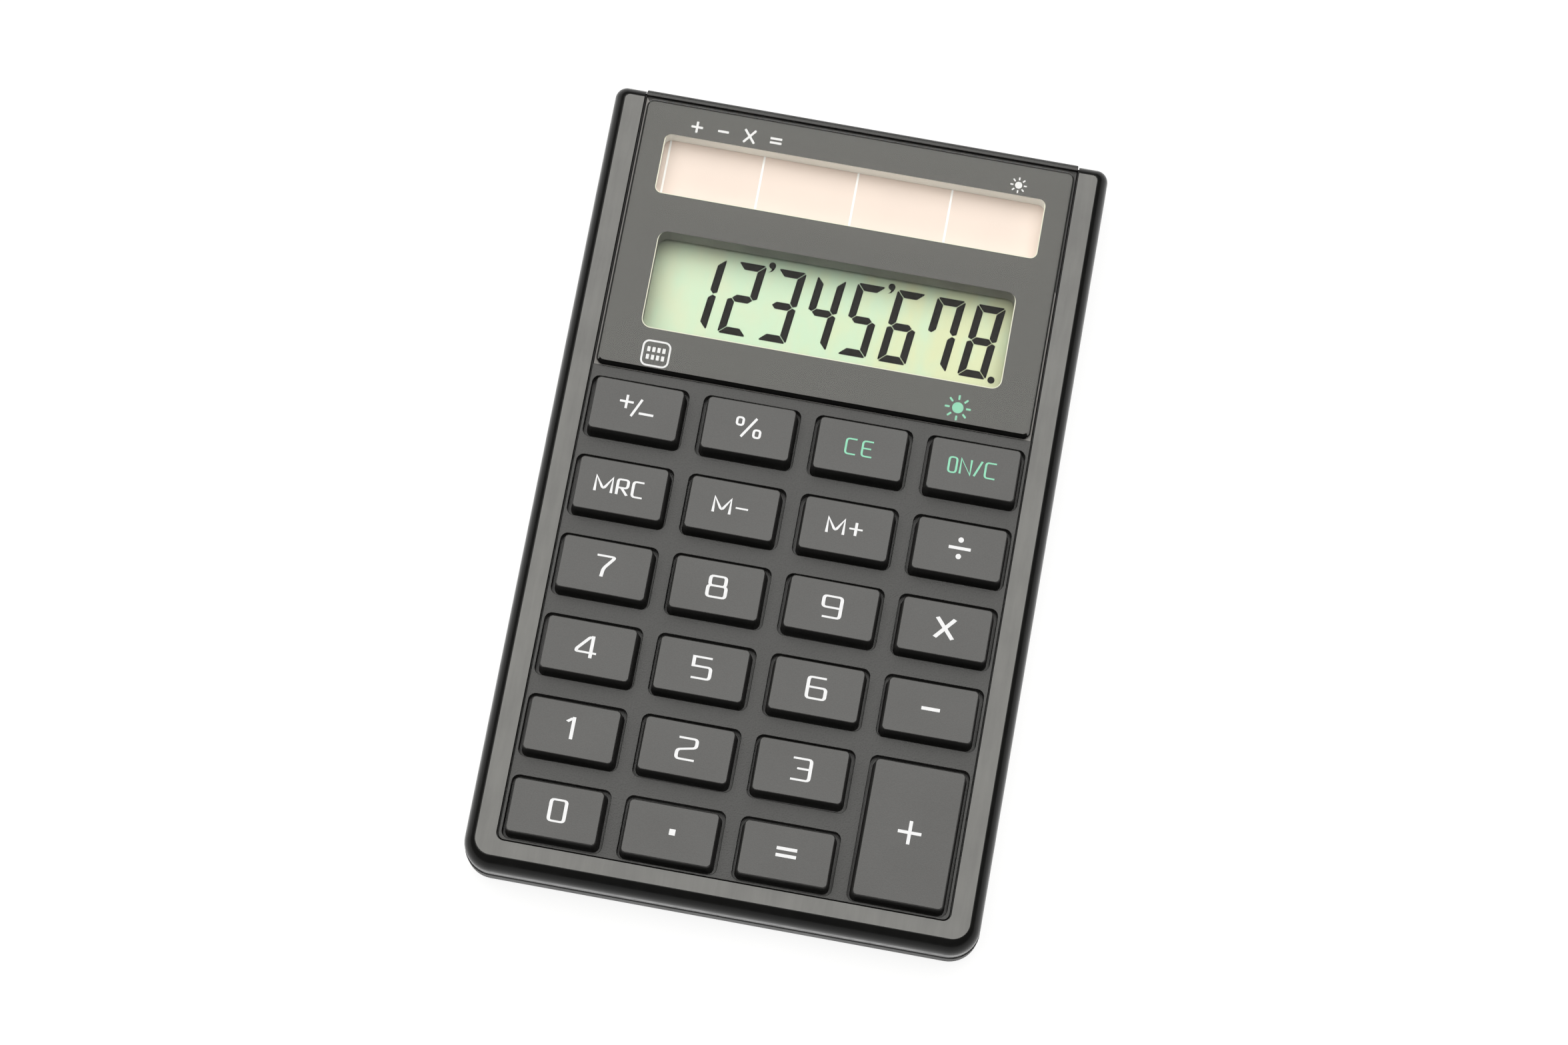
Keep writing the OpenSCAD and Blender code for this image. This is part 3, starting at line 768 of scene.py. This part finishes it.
def panel_profile(deck_y, back_y):
    """Side view of the front panel as (y, z): deck, lens tray, and the rail with its rounded back."""
    foot_z = SEAM_Z + SEAM_GAP
    rail_curve = []
    for sine, cosine in reversed(quarter(9)):
        y = RAIL_Y + RAIL_FLAT + (back_y - RAIL_Y - RAIL_FLAT) * sine
        rail_curve.append((y, RAIL_TOP_Z - RAIL_DROP * (1 - cosine)))
    return [
        (deck_y, PLATE_LOW_Z + PLATE_STEP), (RAIL_Y, PLATE_LOW_Z + PLATE_STEP),
        (RAIL_Y, foot_z), (back_y, foot_z), *rail_curve, (RAIL_Y, RAIL_TOP_Z),
        (RAIL_Y, TRAY_Z), (DECK_END_Y, TRAY_Z), (DECK_END_Y, DECK_Z), (deck_y, DECK_Z),
    ]


def in_lcd_window(face):
    """Whether a face belongs to the walls round the display, which get painted light."""
    middle, width, length, _ = LCD_WINDOW
    offset = face.center.xy / MM - Vector(middle)
    return abs(offset.x) < width / 2 + 0.2 and abs(offset.y) < length / 2 + 0.2


def make_front_panel():
    """Keypad deck, tray for the lens and the rail at the display end, in one moulding."""
    half = OPENING_X - DECK_GAP
    deck_y = OPENING_Y + DECK_GAP
    back_y = case_high.y - FRONT_INSET
    above = RIM_Z + 1
    profile = panel_profile(deck_y, back_y)
    panel = loft("keypad_panel", [[(x, y, z) for y, z in profile] for x in (half, -half)])
    corners = outline((-half, deck_y), (half, back_y + 1), OPENING_R - DECK_GAP, 0.01)
    combine(panel, [prism("corner", corners, 0, above)], "INTERSECT")
    inset = FRONT_INSET + WALL + 0.1
    plate = case_outline(inset, inset, 0.9, FRONT_R - inset / 2, 0.4)
    lcd_frame = window_outline(LCD_WINDOW, 2.4, 1.0, CORNER_STEPS)
    combine(panel, [
        prism("plate", plate, PLATE_LOW_Z, PLATE_TOP_Z),
        prism("lcd_frame", lcd_frame, glass_high.z + 0.25, TRAY_Z - 0.3),
    ], "UNION")
    holes = []
    for key in KEYS:
        hole = centred(key_middle(key), HOLE_W, HOLE_L + key_extra_length(key), HOLE_R)
        holes.append(prism("hole", hole, 5, above))
    holes.append(prism("lcd_window", window_outline(LCD_WINDOW, steps=CORNER_STEPS), 3, above))
    holes.append(prism("solar_window", window_outline(SOLAR_WINDOW, 3.2, 0.8, CORNER_STEPS), 5, above))
    combine(panel, [gather("holes", holes)])
    shade(soften(panel, 0.1, 2, 50), 40)
    place(panel, "matte_panel", stands_for=["front_panel"])
    # Painted light: the walls round the display get the lighter copy of the panel's black
    paint(panel, "matte_panel", "painted_light_wall", pick=in_lcd_window)


# ---- keys ----

def make_key(key):
    """Key cap with a softened top edge, its flange, and a hollow underside round the plunger."""
    low, high = node_box(key)
    centre = tuple(key_middle(key).xy)
    foot = (HOLE_W - 2 * KEY_GAP, HOLE_L - 2 * KEY_GAP + key_extra_length(key))
    top = (foot[0] - 2 * KEY_DRAFT, foot[1] - 2 * KEY_DRAFT)
    inner = (top[0] - 2 * CAP_WALL, top[1] - 2 * CAP_WALL)
    flange = (high.x - low.x, high.y - low.y)
    flange_top = (flange[0] - 2 * FLANGE_EDGE, flange[1] - 2 * FLANGE_EDGE)
    flange_high = PLATE_LOW_Z - FLANGE_GAP
    flange_low = flange_high - FLANGE_T
    top_z = high.z - KEY_SINK
    ceiling = top_z - CAP_WALL

    def ring(size, r, z):
        return at(centred(centre, *size, r), z)

    plunger = arc(centre, PLUNGER_R, 180, 360, 4 * (CORNER_STEPS + 1))[:-1]
    rings = [
        at(plunger, low.z),
        at(plunger, ceiling),
        ring(inner, 0.8, ceiling),
        ring(inner, 0.8, flange_low),
        ring(flange, FLANGE_R, flange_low),
        ring(flange, FLANGE_R, flange_high - FLANGE_EDGE),
        ring(flange_top, FLANGE_R - 0.1, flange_high),
        ring(foot, KEY_CORNER_R + KEY_DRAFT, flange_high),
    ]
    for sine, cosine in quarter(6):
        pull = KEY_ROUND * (1 - cosine)
        size = (top[0] - 2 * pull, top[1] - 2 * pull)
        rings.append(ring(size, KEY_CORNER_R - pull * 0.6, top_z - KEY_ROUND * (1 - sine)))
    return shade(loft("cap_" + key[4:], rings), 40)


# Each glyph as its width and its strokes, on a cell one high and one width wide. A line gets round
# corners, a sharp one doesn't, and a loop closes on itself.
DIGIT_W = 0.86
LETTER_W = 0.66
GLYPHS = {
    "0": (0.72, [("loop", [(0, 0), (1, 0), (1, 1), (0, 1)])]),
    "1": (0.2, [("sharp", [(1, 0), (1, 1.05)]), ("sharp", [(-0.5, 0.8), (0.7, 0.98)])]),
    "2": (DIGIT_W, [("line", [(0, 1), (1, 1), (1, 0.6), (0, 0.42), (0, 0), (1, 0)])]),
    "3": (DIGIT_W, [("line", [(0, 1), (1, 1), (1, 0), (0, 0)]), ("line", [(0.28, 0.53), (0.95, 0.53)])]),
    "4": (DIGIT_W, [
        ("sharp", [(0.8, 0), (0.8, 1.05)]),
        ("line", [(0.8, 0.98), (0.64, 0.98), (0, 0.36), (0, 0.24), (0.4, 0.24)]),
        ("sharp", [(0.3, 0.24), (1.1, 0.24)]),
    ]),
    "5": (DIGIT_W, [
        ("sharp", [(1, 1), (0.02, 1), (0.02, 0.56), (0.5, 0.56)]),
        ("line", [(0.4, 0.56), (1, 0.56), (1, 0), (0, 0)]),
    ]),
    "6": (DIGIT_W, [
        ("line", [(0.95, 1), (0, 1), (0, 0), (0.55, 0)]),
        ("line", [(0.45, 0), (1, 0), (1, 0.53), (0, 0.53)]),
    ]),
    "7": (DIGIT_W, [("line", [(0, 1), (1, 1), (0.45, 0.4), (0.4, 0)])]),
    "8": (DIGIT_W, [
        ("loop", [(0.07, 0.54), (0.93, 0.54), (0.93, 1), (0.07, 1)]),
        ("loop", [(0, 0), (1, 0), (1, 0.54), (0, 0.54)]),
    ]),
    "9": (DIGIT_W, [
        ("line", [(0.05, 0), (1, 0), (1, 1), (0.45, 1)]),
        ("line", [(0.55, 1), (0, 1), (0, 0.47), (1, 0.47)]),
    ]),
    "M": (1.06, [("line", [(0, 0), (0, 1), (0.5, 0.18), (1, 1), (1, 0)])]),
    "R": (LETTER_W, [
        ("line", [(0, 0), (0, 1), (0.55, 1)]),
        ("line", [(0.45, 1), (1, 1), (1, 0.46), (0, 0.46)]),
        ("line", [(0.4, 0.46), (1.02, 0)]),
    ]),
    "C": (LETTER_W, [("line", [(1, 1), (0, 1), (0, 0), (1, 0)])]),
    "E": (LETTER_W, [("line", [(1, 1), (0, 1), (0, 0), (1, 0)]), ("line", [(0.08, 0.52), (0.85, 0.52)])]),
    "O": (0.5, [("loop", [(0, 0), (1, 0), (1, 1), (0, 1)])]),
    "N": (LETTER_W, [("line", [(0, 0), (0, 1), (1, 0), (1, 1)])]),
    "/": (0.42, [("line", [(0, -0.02), (1, 1.02)])]),
    "+": (0.86, [("line", [(0, 0.5), (1, 0.5)]), ("line", [(0.5, 0.07), (0.5, 0.93)])]),
    "-": (0.8, [("line", [(0, 0.5), (1, 0.5)])]),
    "=": (0.86, [("line", [(0, 0.34), (1, 0.34)]), ("line", [(0, 0.66), (1, 0.66)])]),
    "x": (0.8, [("line", [(0, 0), (1, 1)]), ("line", [(0, 1), (1, 0)])]),
}

# Prints: a pen is as wide as its first number in upright strokes and as its second in level ones.
INK_T = 0.02
INK_ROOT = 0.1  # how deep a print reaches into its cap
PRINT_Y = 0.15
DIGIT_H = 2.87
DIGIT_PEN = (0.46, 0.27)
LETTER_H = 2.12
LETTER_PEN = (0.38, 0.24)
FINE_PEN = (0.28, 0.21)
WORD_X = -0.2
PRINT_SHIFTS = {"key_4": -0.35, "key_1": -0.25, "key_0": 0.3, "key_point": 0.25}
# Words as (letters, ink, pen, gap between letters)
WORD_KEYS = {
    "key_clear_entry": ("CE", "legend_green", FINE_PEN, 0.85),
    "key_on_clear": ("ON/C", "legend_green", FINE_PEN, 0.55),
    "key_memory_recall": ("MRC", "legend_white", LETTER_PEN, 0.72),
    "key_memory_minus": ("M-", "legend_white", LETTER_PEN, 0.72),
    "key_memory_plus": ("M+", "legend_white", LETTER_PEN, 0.72),
}
# Signs about the middle of the print: bars and rings as (middle, width, length), dots as
# (middle, radius) and lines as (start, end, pen)
SIGN_KEYS = {
    "key_sign": [
        ("bar", (-1.45, 0.62), 1.9, 0.3), ("bar", (-1.45, 0.62), 0.34, 1.9),
        ("line", (-0.55, -1.3), (0.6, 1.25), (0.33, 0.33)), ("bar", (1.45, -0.72), 2.0, 0.32),
    ],
    "key_percent": [
        ("line", (-0.85, -1.4), (0.95, 1.4), (0.34, 0.34)),
        ("ring", (-1.25, 0.72), 0.86, 1.05), ("ring", (1.25, -0.72), 0.86, 1.05),
    ],
    "key_divide": [("bar", (0, 0), 3.0, 0.42), ("dot", (0, -1.15), 0.37), ("dot", (0, 1.15), 0.37)],
    "key_multiply": [
        ("line", (1.2, -1.38), (-1.2, 1.38), (0.58, 0.4)),
        ("line", (-1.2, -1.38), (1.2, 1.38), (0.58, 0.4)),
    ],
    "key_minus": [("bar", (0, 0), 2.5, 0.46)],
    "key_point": [("bar", (0, 0), 0.82, 0.82)],
    "key_equals": [("bar", (0, -0.46), 2.75, 0.44), ("bar", (0, 0.46), 2.75, 0.44)],
    "key_plus": [("bar", (0, 0), 3.15, 0.42), ("bar", (0, 0), 0.46, 3.15)],
}


def round_path(points, radius, closed):
    """A path with its corners rounded, tightly where the legs are short."""
    rounded = []
    count = len(points)
    for i, here in enumerate(points):
        before = points[i - 1] - here
        after = points[(i + 1) % count] - here
        is_end = not closed and i in (0, count - 1)
        if is_end or before.angle(after) < math.radians(50):
            rounded.append(here)
            continue
        reach = min(radius, 0.45 * before.length, 0.45 * after.length)
        start = here + before.normalized() * reach
        end = here + after.normalized() * reach
        for step in range(5):
            t = step / 4
            rounded.append(start * (1 - t) ** 2 + here * 2 * t * (1 - t) + end * t * t)
    return rounded


def stroke(path, pen, layer, closed=False):
    """Solid ribbon along a path, drawn by an oval pen, between the two heights of a layer."""
    points = [Vector((p.x / pen[0], p.y / pen[1])) for p in map(Vector, path)]
    count = len(points)
    low_z, high_z = layer
    rings = []
    for i, point in enumerate(points):
        if closed or 0 < i < count - 1:
            into = (point - points[i - 1]).normalized()
            out = (points[(i + 1) % count] - point).normalized()
        elif i == 0:
            into = out = (points[1] - point).normalized()
        else:
            into = out = (point - points[i - 1]).normalized()
        across = Vector((-into.y - out.y, into.x + out.x))
        across = across.normalized() * min(0.5 / max(0.3, across.length / 2), 0.85)
        left, right = point + across, point - across
        a = (left.x * pen[0], left.y * pen[1])
        b = (right.x * pen[0], right.y * pen[1])
        rings.append([(*a, low_z), (*b, low_z), (*b, high_z), (*a, high_z)])
    return loft("stroke", rings, closed)


def text_strokes(text, centre, height, pen, gap, layer):
    """Solids for a row of glyphs about a centre."""
    widths = [GLYPHS[c][0] * height for c in text]
    left = centre[0] - (sum(widths) + gap * (len(text) - 1)) / 2
    base = centre[1] - height / 2
    made = []
    for name, width in zip(text, widths):
        for kind, points in GLYPHS[name][1]:
            path = [Vector((left + x * width, base + y * height)) for x, y in points]
            if kind != "sharp":
                path = round_path(path, 0.42, kind == "loop")
            made.append(stroke(path, pen, layer, kind == "loop"))
        left += width + gap
    return made


def disc(centre, radius, layer):
    return prism("disc", circle(centre, radius, 24), *layer)


def bar(centre, width, length, layer):
    return prism("bar", centred(centre, width, length, 0.04, 3), *layer)


def sign_solid(centre, layer, kind, start, *sizes):
    """One solid of a sign, as its table describes it."""
    here = shifted(centre, start)
    if kind == "bar":
        return bar(here, *sizes, layer)
    if kind == "dot":
        return disc(here, *sizes, layer)
    if kind == "ring":
        return stroke(centred(here, *sizes, 0.3, 4), (0.33, 0.27), layer, True)
    end, pen = sizes
    return stroke([here, shifted(centre, end)], pen, layer)


def make_legend(key, top_z):
    """Print of a key, and the name of its ink."""
    middle = key_middle(key)
    x, y = middle.x + PRINT_SHIFTS.get(key, 0), middle.y + PRINT_Y
    layer = (top_z - INK_ROOT, top_z + INK_T)
    color = "legend_white"
    if key[4:].isdigit():
        solids = text_strokes(key[4:], (x, y), DIGIT_H, DIGIT_PEN, 0, layer)
    elif key in WORD_KEYS:
        word, color, pen, gap = WORD_KEYS[key]
        solids = text_strokes(word, (x + WORD_X, y), LETTER_H, pen, gap, layer)
    else:
        solids = [sign_solid((x, y), layer, *part) for part in SIGN_KEYS[key]]
    return fuse("legend_" + key[4:], solids), color


def tilt_key(key, pieces, chance):
    """Sets a key a little askew, as loose caps lie, about its middle."""
    middle = key_middle(key) * MM
    turns = [math.radians(chance.uniform(-reach, reach)) for reach in (0.35, 0.35, 0.3)]
    turn = Euler(turns).to_matrix().to_4x4()
    shift = Vector([chance.uniform(-reach, reach) * MM for reach in (0.1, 0.08, 0)])
    for piece in pieces:
        for vertex in piece.data.vertices:
            vertex.co = turn @ (vertex.co - middle) + middle + shift


def make_keys():
    chance = random.Random(7)
    for key in KEYS:
        cap = make_key(key)
        legend, color = make_legend(key, node_box(key)[1].z - KEY_SINK)
        tilt_key(key, [cap, legend], chance)
        place(cap, "key_plastic", body=key, stands_for=[key])
        place(legend, color, body=key)


# ---- display ----

def make_lens():
    """Clear lens with a bevelled, polished edge, black where it faces the keys: painted shade for the
    darkness that its edge shows.
    """
    middle = (lens_low + lens_high) / 2
    size = lens_high - lens_low
    foot, edge = 0.04, 0.06
    bevel_z = lens_high.z - LENS_BEVEL
    rings = []
    for inset, z in (
        (foot, lens_low.z), (0, lens_low.z + foot), (0, bevel_z - edge), (edge * 0.4, bevel_z),
        (LENS_BEVEL - edge, lens_high.z - edge * 0.6), (LENS_BEVEL + edge, lens_high.z),
    ):
        rings.append(at(centred(middle, size.x - 2 * inset, size.y - 2 * inset, 1 - 0.5 * inset), z))
    lens = shade(loft("clear_lens", rings), 25)
    place(lens, "clear_lens", stands_for=["display_lens"])

    def lens_face(face):
        if face.normal.y < -0.5:
            return 2
        return 0 if face.normal.z > 0.4 else 1

    paint(lens, "clear_lens", "clear_inner", "painted_shade_gloss", pick=lens_face)


def window_sheet(name, points, low_z, high_z, grow):
    """Sheet with both windows cut out of it, each larger than the window in the mask by grow."""
    sheet = prism(name, points, low_z, high_z - PRINT_GAP)
    windows = []
    for window in (LCD_WINDOW, SOLAR_WINDOW):
        windows.append(prism("window", window_outline(window, grow), low_z - 1, high_z + 1))
    combine(sheet, [gather("windows", windows)])
    return shade(sheet, 30)


def make_lens_backing():
    """Printed mask with its black border, which is painted shade for the lens's dark edge, and the
    adhesive tape, all behind the lens.
    """
    margin, border_margin, corner_r = 0.22, 0.03, 0.8
    low_z, high_z = mask_low.z, mask_high.z
    low = Vector(shifted(lens_low, (margin, margin)))
    high = Vector(shifted(lens_high, (-margin, -margin)))
    mask = outline(low, high, corner_r)
    edge = inside_box(lens_low, lens_high, border_margin, 1)
    # Painted shade: a black ring between the mask and the lens's edge
    place(frame_prism("lens_border", mask, edge, low_z, high_z - PRINT_GAP), "painted_shade_gloss")
    place(window_sheet("lens_print", mask, low_z, high_z, 0), "mask_print", stands_for=["lens_mask"])
    low, high = node_box("lens_tape")
    tape = inside_box(low, high, 0, corner_r)
    place(window_sheet("lens_adhesive", tape, low.z, high.z, 1), "tape", stands_for=["lens_tape"])


def make_window_glints():
    """Painted highlight: a pale line along the sides and the bottom of each window, for the glint where
    light catches its edge.
    """
    line, under = 0.12, 0.1
    for name, window in (("lcd_window_glint", LCD_WINDOW), ("solar_window_glint", SOLAR_WINDOW)):
        (x, y), width, length, r = window
        low_x, low_y = x - width / 2, y - length / 2
        high_x, high_y = x + width / 2, y + length / 2
        inner_low, inner_high = (low_x + line, low_y + line), (high_x - line, high_y + under)
        outer_low, outer_high = (low_x - under, low_y - under), (high_x + under, high_y + 2 * under)
        inner = outline(inner_low, inner_high, r - line, r, WINDOW_STEPS)
        outer = outline(outer_low, outer_high, r + under, r + under, WINDOW_STEPS)
        edge = shade(frame_prism(name, inner, outer, mask_low.z - 0.06, mask_low.z - 0.01), 30)
        place(edge, "painted_glint_line")


def make_marks():
    """Plain pictograms printed behind the lens."""
    layer = (mask_high.z - 1.2 * PRINT_GAP, mask_high.z - 0.3 * PRINT_GAP)
    signs = []
    for i, sign in enumerate("+-x="):
        signs += text_strokes(sign, (-22.6 + i * 3.7, 51.1), 1.9, (0.32, 0.32), 0, layer)
    place(fuse("sign_row", signs), "legend_white")
    middle = (-22.15, 18.0)
    cells = [stroke(centred(middle, 3.7, 3.5, 0.8, 6), (0.26, 0.26), layer, True)]
    for i in range(8):
        step = (0.7 * (i % 4) - 1.05, 0.55 if i < 4 else -0.55)
        cells.append(bar(shifted(middle, step), 0.42, 0.7, layer))
    place(fuse("cell_mark", cells), "legend_white")
    for name, color, centre, r in (
        ("sun_mark", "legend_green", (19.7, 18.0), 0.78),
        ("small_sun_mark", "legend_white", (22.6, 50.9), 0.5),
    ):
        pen = 0.24 * r + 0.08
        rays = [disc(centre, r, layer)]
        for i in range(8):
            angle = math.radians(45 * i)
            direction = Vector((math.cos(angle), math.sin(angle)))
            start = Vector(centre) + direction * r * 1.45
            rays.append(stroke([start, start + direction * r * 0.85], (pen, pen), layer))
        place(fuse(name, rays), color)


def make_display_cover():
    """Front glass of the display with its polariser: one clear slab, stepped where the film ends."""
    edge, film_edge = 0.05, 0.02
    glass, film = (glass_low, glass_high), (film_low, film_high)
    rings = []
    for box, inset, z in (
        (glass, edge, glass_low.z + PRINT_GAP), (glass, 0, glass_low.z + edge),
        (glass, 0, glass_high.z - edge), (glass, edge, glass_high.z),
        (film, 0, glass_high.z), (film, 0, film_high.z - film_edge), (film, film_edge, film_high.z),
    ):
        rings.append(at(inside_box(*box, inset, 0.3, 3), z))
    cover = shade(loft("lcd_cover", rings), 25)
    place(cover, "display_glass", stands_for=["lcd_front_polariser", "lcd_front_glass"])
    paint(cover, "display_glass", "clear_inner", pick=lambda face: face.normal.z <= 0.4)


# Digits of the display: stroke, size, distance from one to the next, gap between segments and slant
SEGMENT_T = 1.05
DIGIT_SIZE = (4.0, 10.6)
DIGIT_PITCH = 5.6
DIGIT_GAP = 0.06
DIGIT_SLANT = math.tan(math.radians(6.3))
LAST_DIGIT_X = 18.8
DIGIT_BASE_Y = 23.85
READING = "12345678"
SEGMENTS = {
    "1": "bc", "2": "abged", "3": "abgcd", "4": "fgbc",
    "5": "afgcd", "6": "afgcde", "7": "fabc", "8": "abcdefg",
}
# A thousands mark: the radius of its head, and its tail from the head's left side round the tip
COMMA_HEAD_R = 0.48
COMMA_TAIL = [(-0.02, -0.52), (-0.1, -0.78), (-0.42, -1.08), (0.08, -0.86), (0.36, -0.48)]


def segment_shapes():
    """Outline of each of the seven segments of an upright digit with its corner at the origin."""
    w, h = DIGIT_SIZE
    t, g = SEGMENT_T, DIGIT_GAP
    cut = 0.3
    mid = h / 2
    right_top = [
        (w - cut / 2, h - cut / 2 - g), (w, h - cut), (w, mid + 0.3), (w - t / 2, mid + g),
        (w - t, mid + t / 2 + g), (w - t, h - t - g),
    ]
    top = [
        (cut / 2 + g, h - cut / 2), (cut, h), (w - cut, h),
        (w - cut / 2 - g, h - cut / 2), (w - t - g, h - t), (t + g, h - t),
    ]
    middle = [
        (t / 2 + g, mid), (t + g, mid + t / 2), (w - t - g, mid + t / 2),
        (w - t / 2 - g, mid), (w - t - g, mid - t / 2), (t + g, mid - t / 2),
    ]

    def flip_x(points):
        return [(w - x, y) for x, y in reversed(points)]

    def flip_y(points):
        return [(x, h - y) for x, y in reversed(points)]

    return {
        "a": top, "b": right_top, "c": flip_y(right_top), "d": flip_y(top),
        "e": flip_x(flip_y(right_top)), "f": flip_x(right_top), "g": middle,
    }


def make_segments():
    """Dark segments of the reading, its point and its thousands marks, inside the front glass."""
    low_z = glass_low.z + 2 * PRINT_GAP
    layer = (low_z, low_z + 0.01)
    width, height = DIGIT_SIZE
    shapes = segment_shapes()
    made = []
    for i, digit in enumerate(READING):
        left = LAST_DIGIT_X - (len(READING) - 1 - i) * DIGIT_PITCH
        for name in SEGMENTS[digit]:
            points = [(left + x + y * DIGIT_SLANT, DIGIT_BASE_Y + y) for x, y in shapes[name]]
            area = sum(a[0] * b[1] - b[0] * a[1] for a, b in zip(points, points[1:] + points[:1]))
            if area < 0:
                points.reverse()
            made.append(prism("segment", points, *layer))
        if digit in "25":
            head = (left + width + height * DIGIT_SLANT + 0.7, DIGIT_BASE_Y + height + 0.22)
            comma = arc(head, COMMA_HEAD_R, -15, 250, 16)
            comma += [shifted(head, step) for step in COMMA_TAIL]
            made.append(prism("comma", comma, *layer))
    made.append(disc((LAST_DIGIT_X + width + 0.77, DIGIT_BASE_Y + 0.12), 0.5, layer))
    segments = shade(gather("lcd_segments", made), 30)
    place(segments, "lcd_segment")


def make_solar_cell():
    """Solar cell: a glass plate with four strips of film parted by thin pale lines."""
    low, high = cell_low, cell_high
    middle, width, _, _ = SOLAR_WINDOW
    plate = prism("solar_cell_plate", inside_box(low, high, 0, 0.2, 3), low.z, high.z - 0.02)
    shade(soften(plate, 0.06))
    place(plate, "solar_cell", stands_for=["solar_cell"])
    pitch = width / 4 - 0.125
    line_w, line_l = 0.28, high.y - low.y - 0.8
    lines = []
    for i in range(-2, 2):
        line = centred((0.5 + i * pitch, middle[1]), line_w, line_l, 0.05, 3)
        lines.append(prism("line", line, high.z - 0.03, high.z))
    strips = shade(gather("solar_cell_lines", lines))
    place(strips, "strip_line")


def make_gasket():
    """Light foam wall round the solar cell."""
    wall = gasket_high.x - gasket_low.x - SOLAR_WINDOW[1]
    inner = window_outline(SOLAR_WINDOW)
    outer = window_outline(SOLAR_WINDOW, wall, 0.6)
    gasket = frame_prism("solar_gasket_foam", inner, outer, gasket_low.z, gasket_high.z)
    shade(soften(gasket, 0.12, 3, 50), 40)
    place(gasket, "gasket_foam", stands_for=["solar_gasket"])


# ---- inside ----

MAT_T = 0.5
PILL_R = 1.4


def make_keypad_mat():
    """Silicone mat, with a separate dome under each key and a conductive pill on it."""
    mat_top = mat_low.z + MAT_T
    sheet = prism("rubber_mat", inside_box(mat_low, mat_high, 0, 1.2), mat_low.z, mat_top)
    holes = [prism("hole", circle(middle, 1.5, 24), 0, 9) for middle in screw_places("board_screws")]
    holes += [prism("under", circle(key_middle(key), 2.85), 0, 9) for key in KEYS]
    combine(sheet, [gather("holes", holes)])
    shade(soften(sheet, 0.08, 2, 50), 40)
    place(sheet, "silicone", stands_for=["rubber_keypad", "contact_pills"])
    dome_profile = [
        (0.9, 4.55), (1.5, 4.58), (2.75, mat_low.z + 0.1), (3.0, mat_low.z + 0.1), (3.15, mat_top),
        (2.95, mat_top + 0.12), (2.1, 4.75), (1.92, 4.95), (1.9, mat_high.z - 0.08),
        (1.82, mat_high.z), (1.0, mat_high.z), (0.9, mat_high.z - 0.05),
    ]
    for key in KEYS:
        middle = tuple(key_middle(key).xy)
        dome = shade(turned("dome_" + key[4:], middle, dome_profile), 40)
        place(dome, "silicone")
        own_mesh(dome)
        pill = prism("pill_" + key[4:], circle(middle, PILL_R), 4.36, 4.54)
        shade(soften(pill, 0.04))
        place(pill, "pill", body=key)


NODE_FINISHES = {
    "lcd_rear_glass": "reflector",
    "lcd_reflector": "reflector",
    "lcd_ribbon": "ribbon",
    "solar_wire_positive": "wire_red",
    "solar_wire_negative": "wire_black",
    "display_bracket": "bracket_plastic",
    "bracket_screws": "screw_steel",
    "circuit_board": "board",
    "contact_pads": "carbon",
    "chip_cover": "epoxy",
    "capacitor": "capacitor_sleeve",
    "clamp_diode": "diode_glass",
    "chip_resistors": "resistor",
    "board_screws": "screw_steel",
}


# ---- stage ----

FLOOR_SIZE = 8000
FLOOR_DROP = 0.02  # keeps the floor off the underside's own plane
SOFTBOX_DISTANCE = 3.4
SOFTBOX_SIZE = (6.2, 4.6)
SOFTBOX_FROM = (-0.14, 0.31, 0.94)
SOFTBOX_RADIANCE = 2.8
SOFTBOX_COLOR = (1, 0.99, 0.955)
WORLD_STRENGTH = 0.14


def make_floor():
    size = FLOOR_SIZE
    corners = [(-size, -size), (size, -size), (size, size), (-size, size)]
    floor = solid("floor", at(corners, case_low.z - FLOOR_DROP), [(0, 1, 2, 3)])
    paint(floor, "floor_paper")


def make_softbox():
    """One large rectangular light that faces the origin."""
    data = bpy.data.lights.new("softbox", "AREA")
    data.shape = "RECTANGLE"
    data.size, data.size_y = SOFTBOX_SIZE
    data.energy = SOFTBOX_RADIANCE * SOFTBOX_SIZE[0] * SOFTBOX_SIZE[1] * math.pi
    data.color = SOFTBOX_COLOR
    light = bpy.data.objects.new("softbox", data)
    away = Vector(SOFTBOX_FROM).normalized()
    light.location = away * SOFTBOX_DISTANCE
    light.rotation_euler = away.to_track_quat("Z", "Y").to_euler()
    bpy.context.scene.collection.objects.link(light)


def make_world():
    world = bpy.data.worlds.new("studio")
    world.use_nodes = True
    background = world.node_tree.nodes["Background"]
    background.inputs["Color"].default_value = (1, 1, 1, 1)
    background.inputs["Strength"].default_value = WORLD_STRENGTH
    bpy.context.scene.world = world
    bpy.context.scene.view_settings.view_transform = "Standard"


# ---- everything ----

make_camera()
make_materials()
make_floor()
make_softbox()
make_world()
make_gloss_rim()
make_rear_case()
make_case_screws()
make_front_panel()
make_keys()
make_lens()
make_lens_backing()
make_window_glints()
make_marks()
make_display_cover()
make_segments()
make_solar_cell()
make_gasket()
make_keypad_mat()
for node, finish in NODE_FINISHES.items():
    paint(frame["nodes"][node], finish)
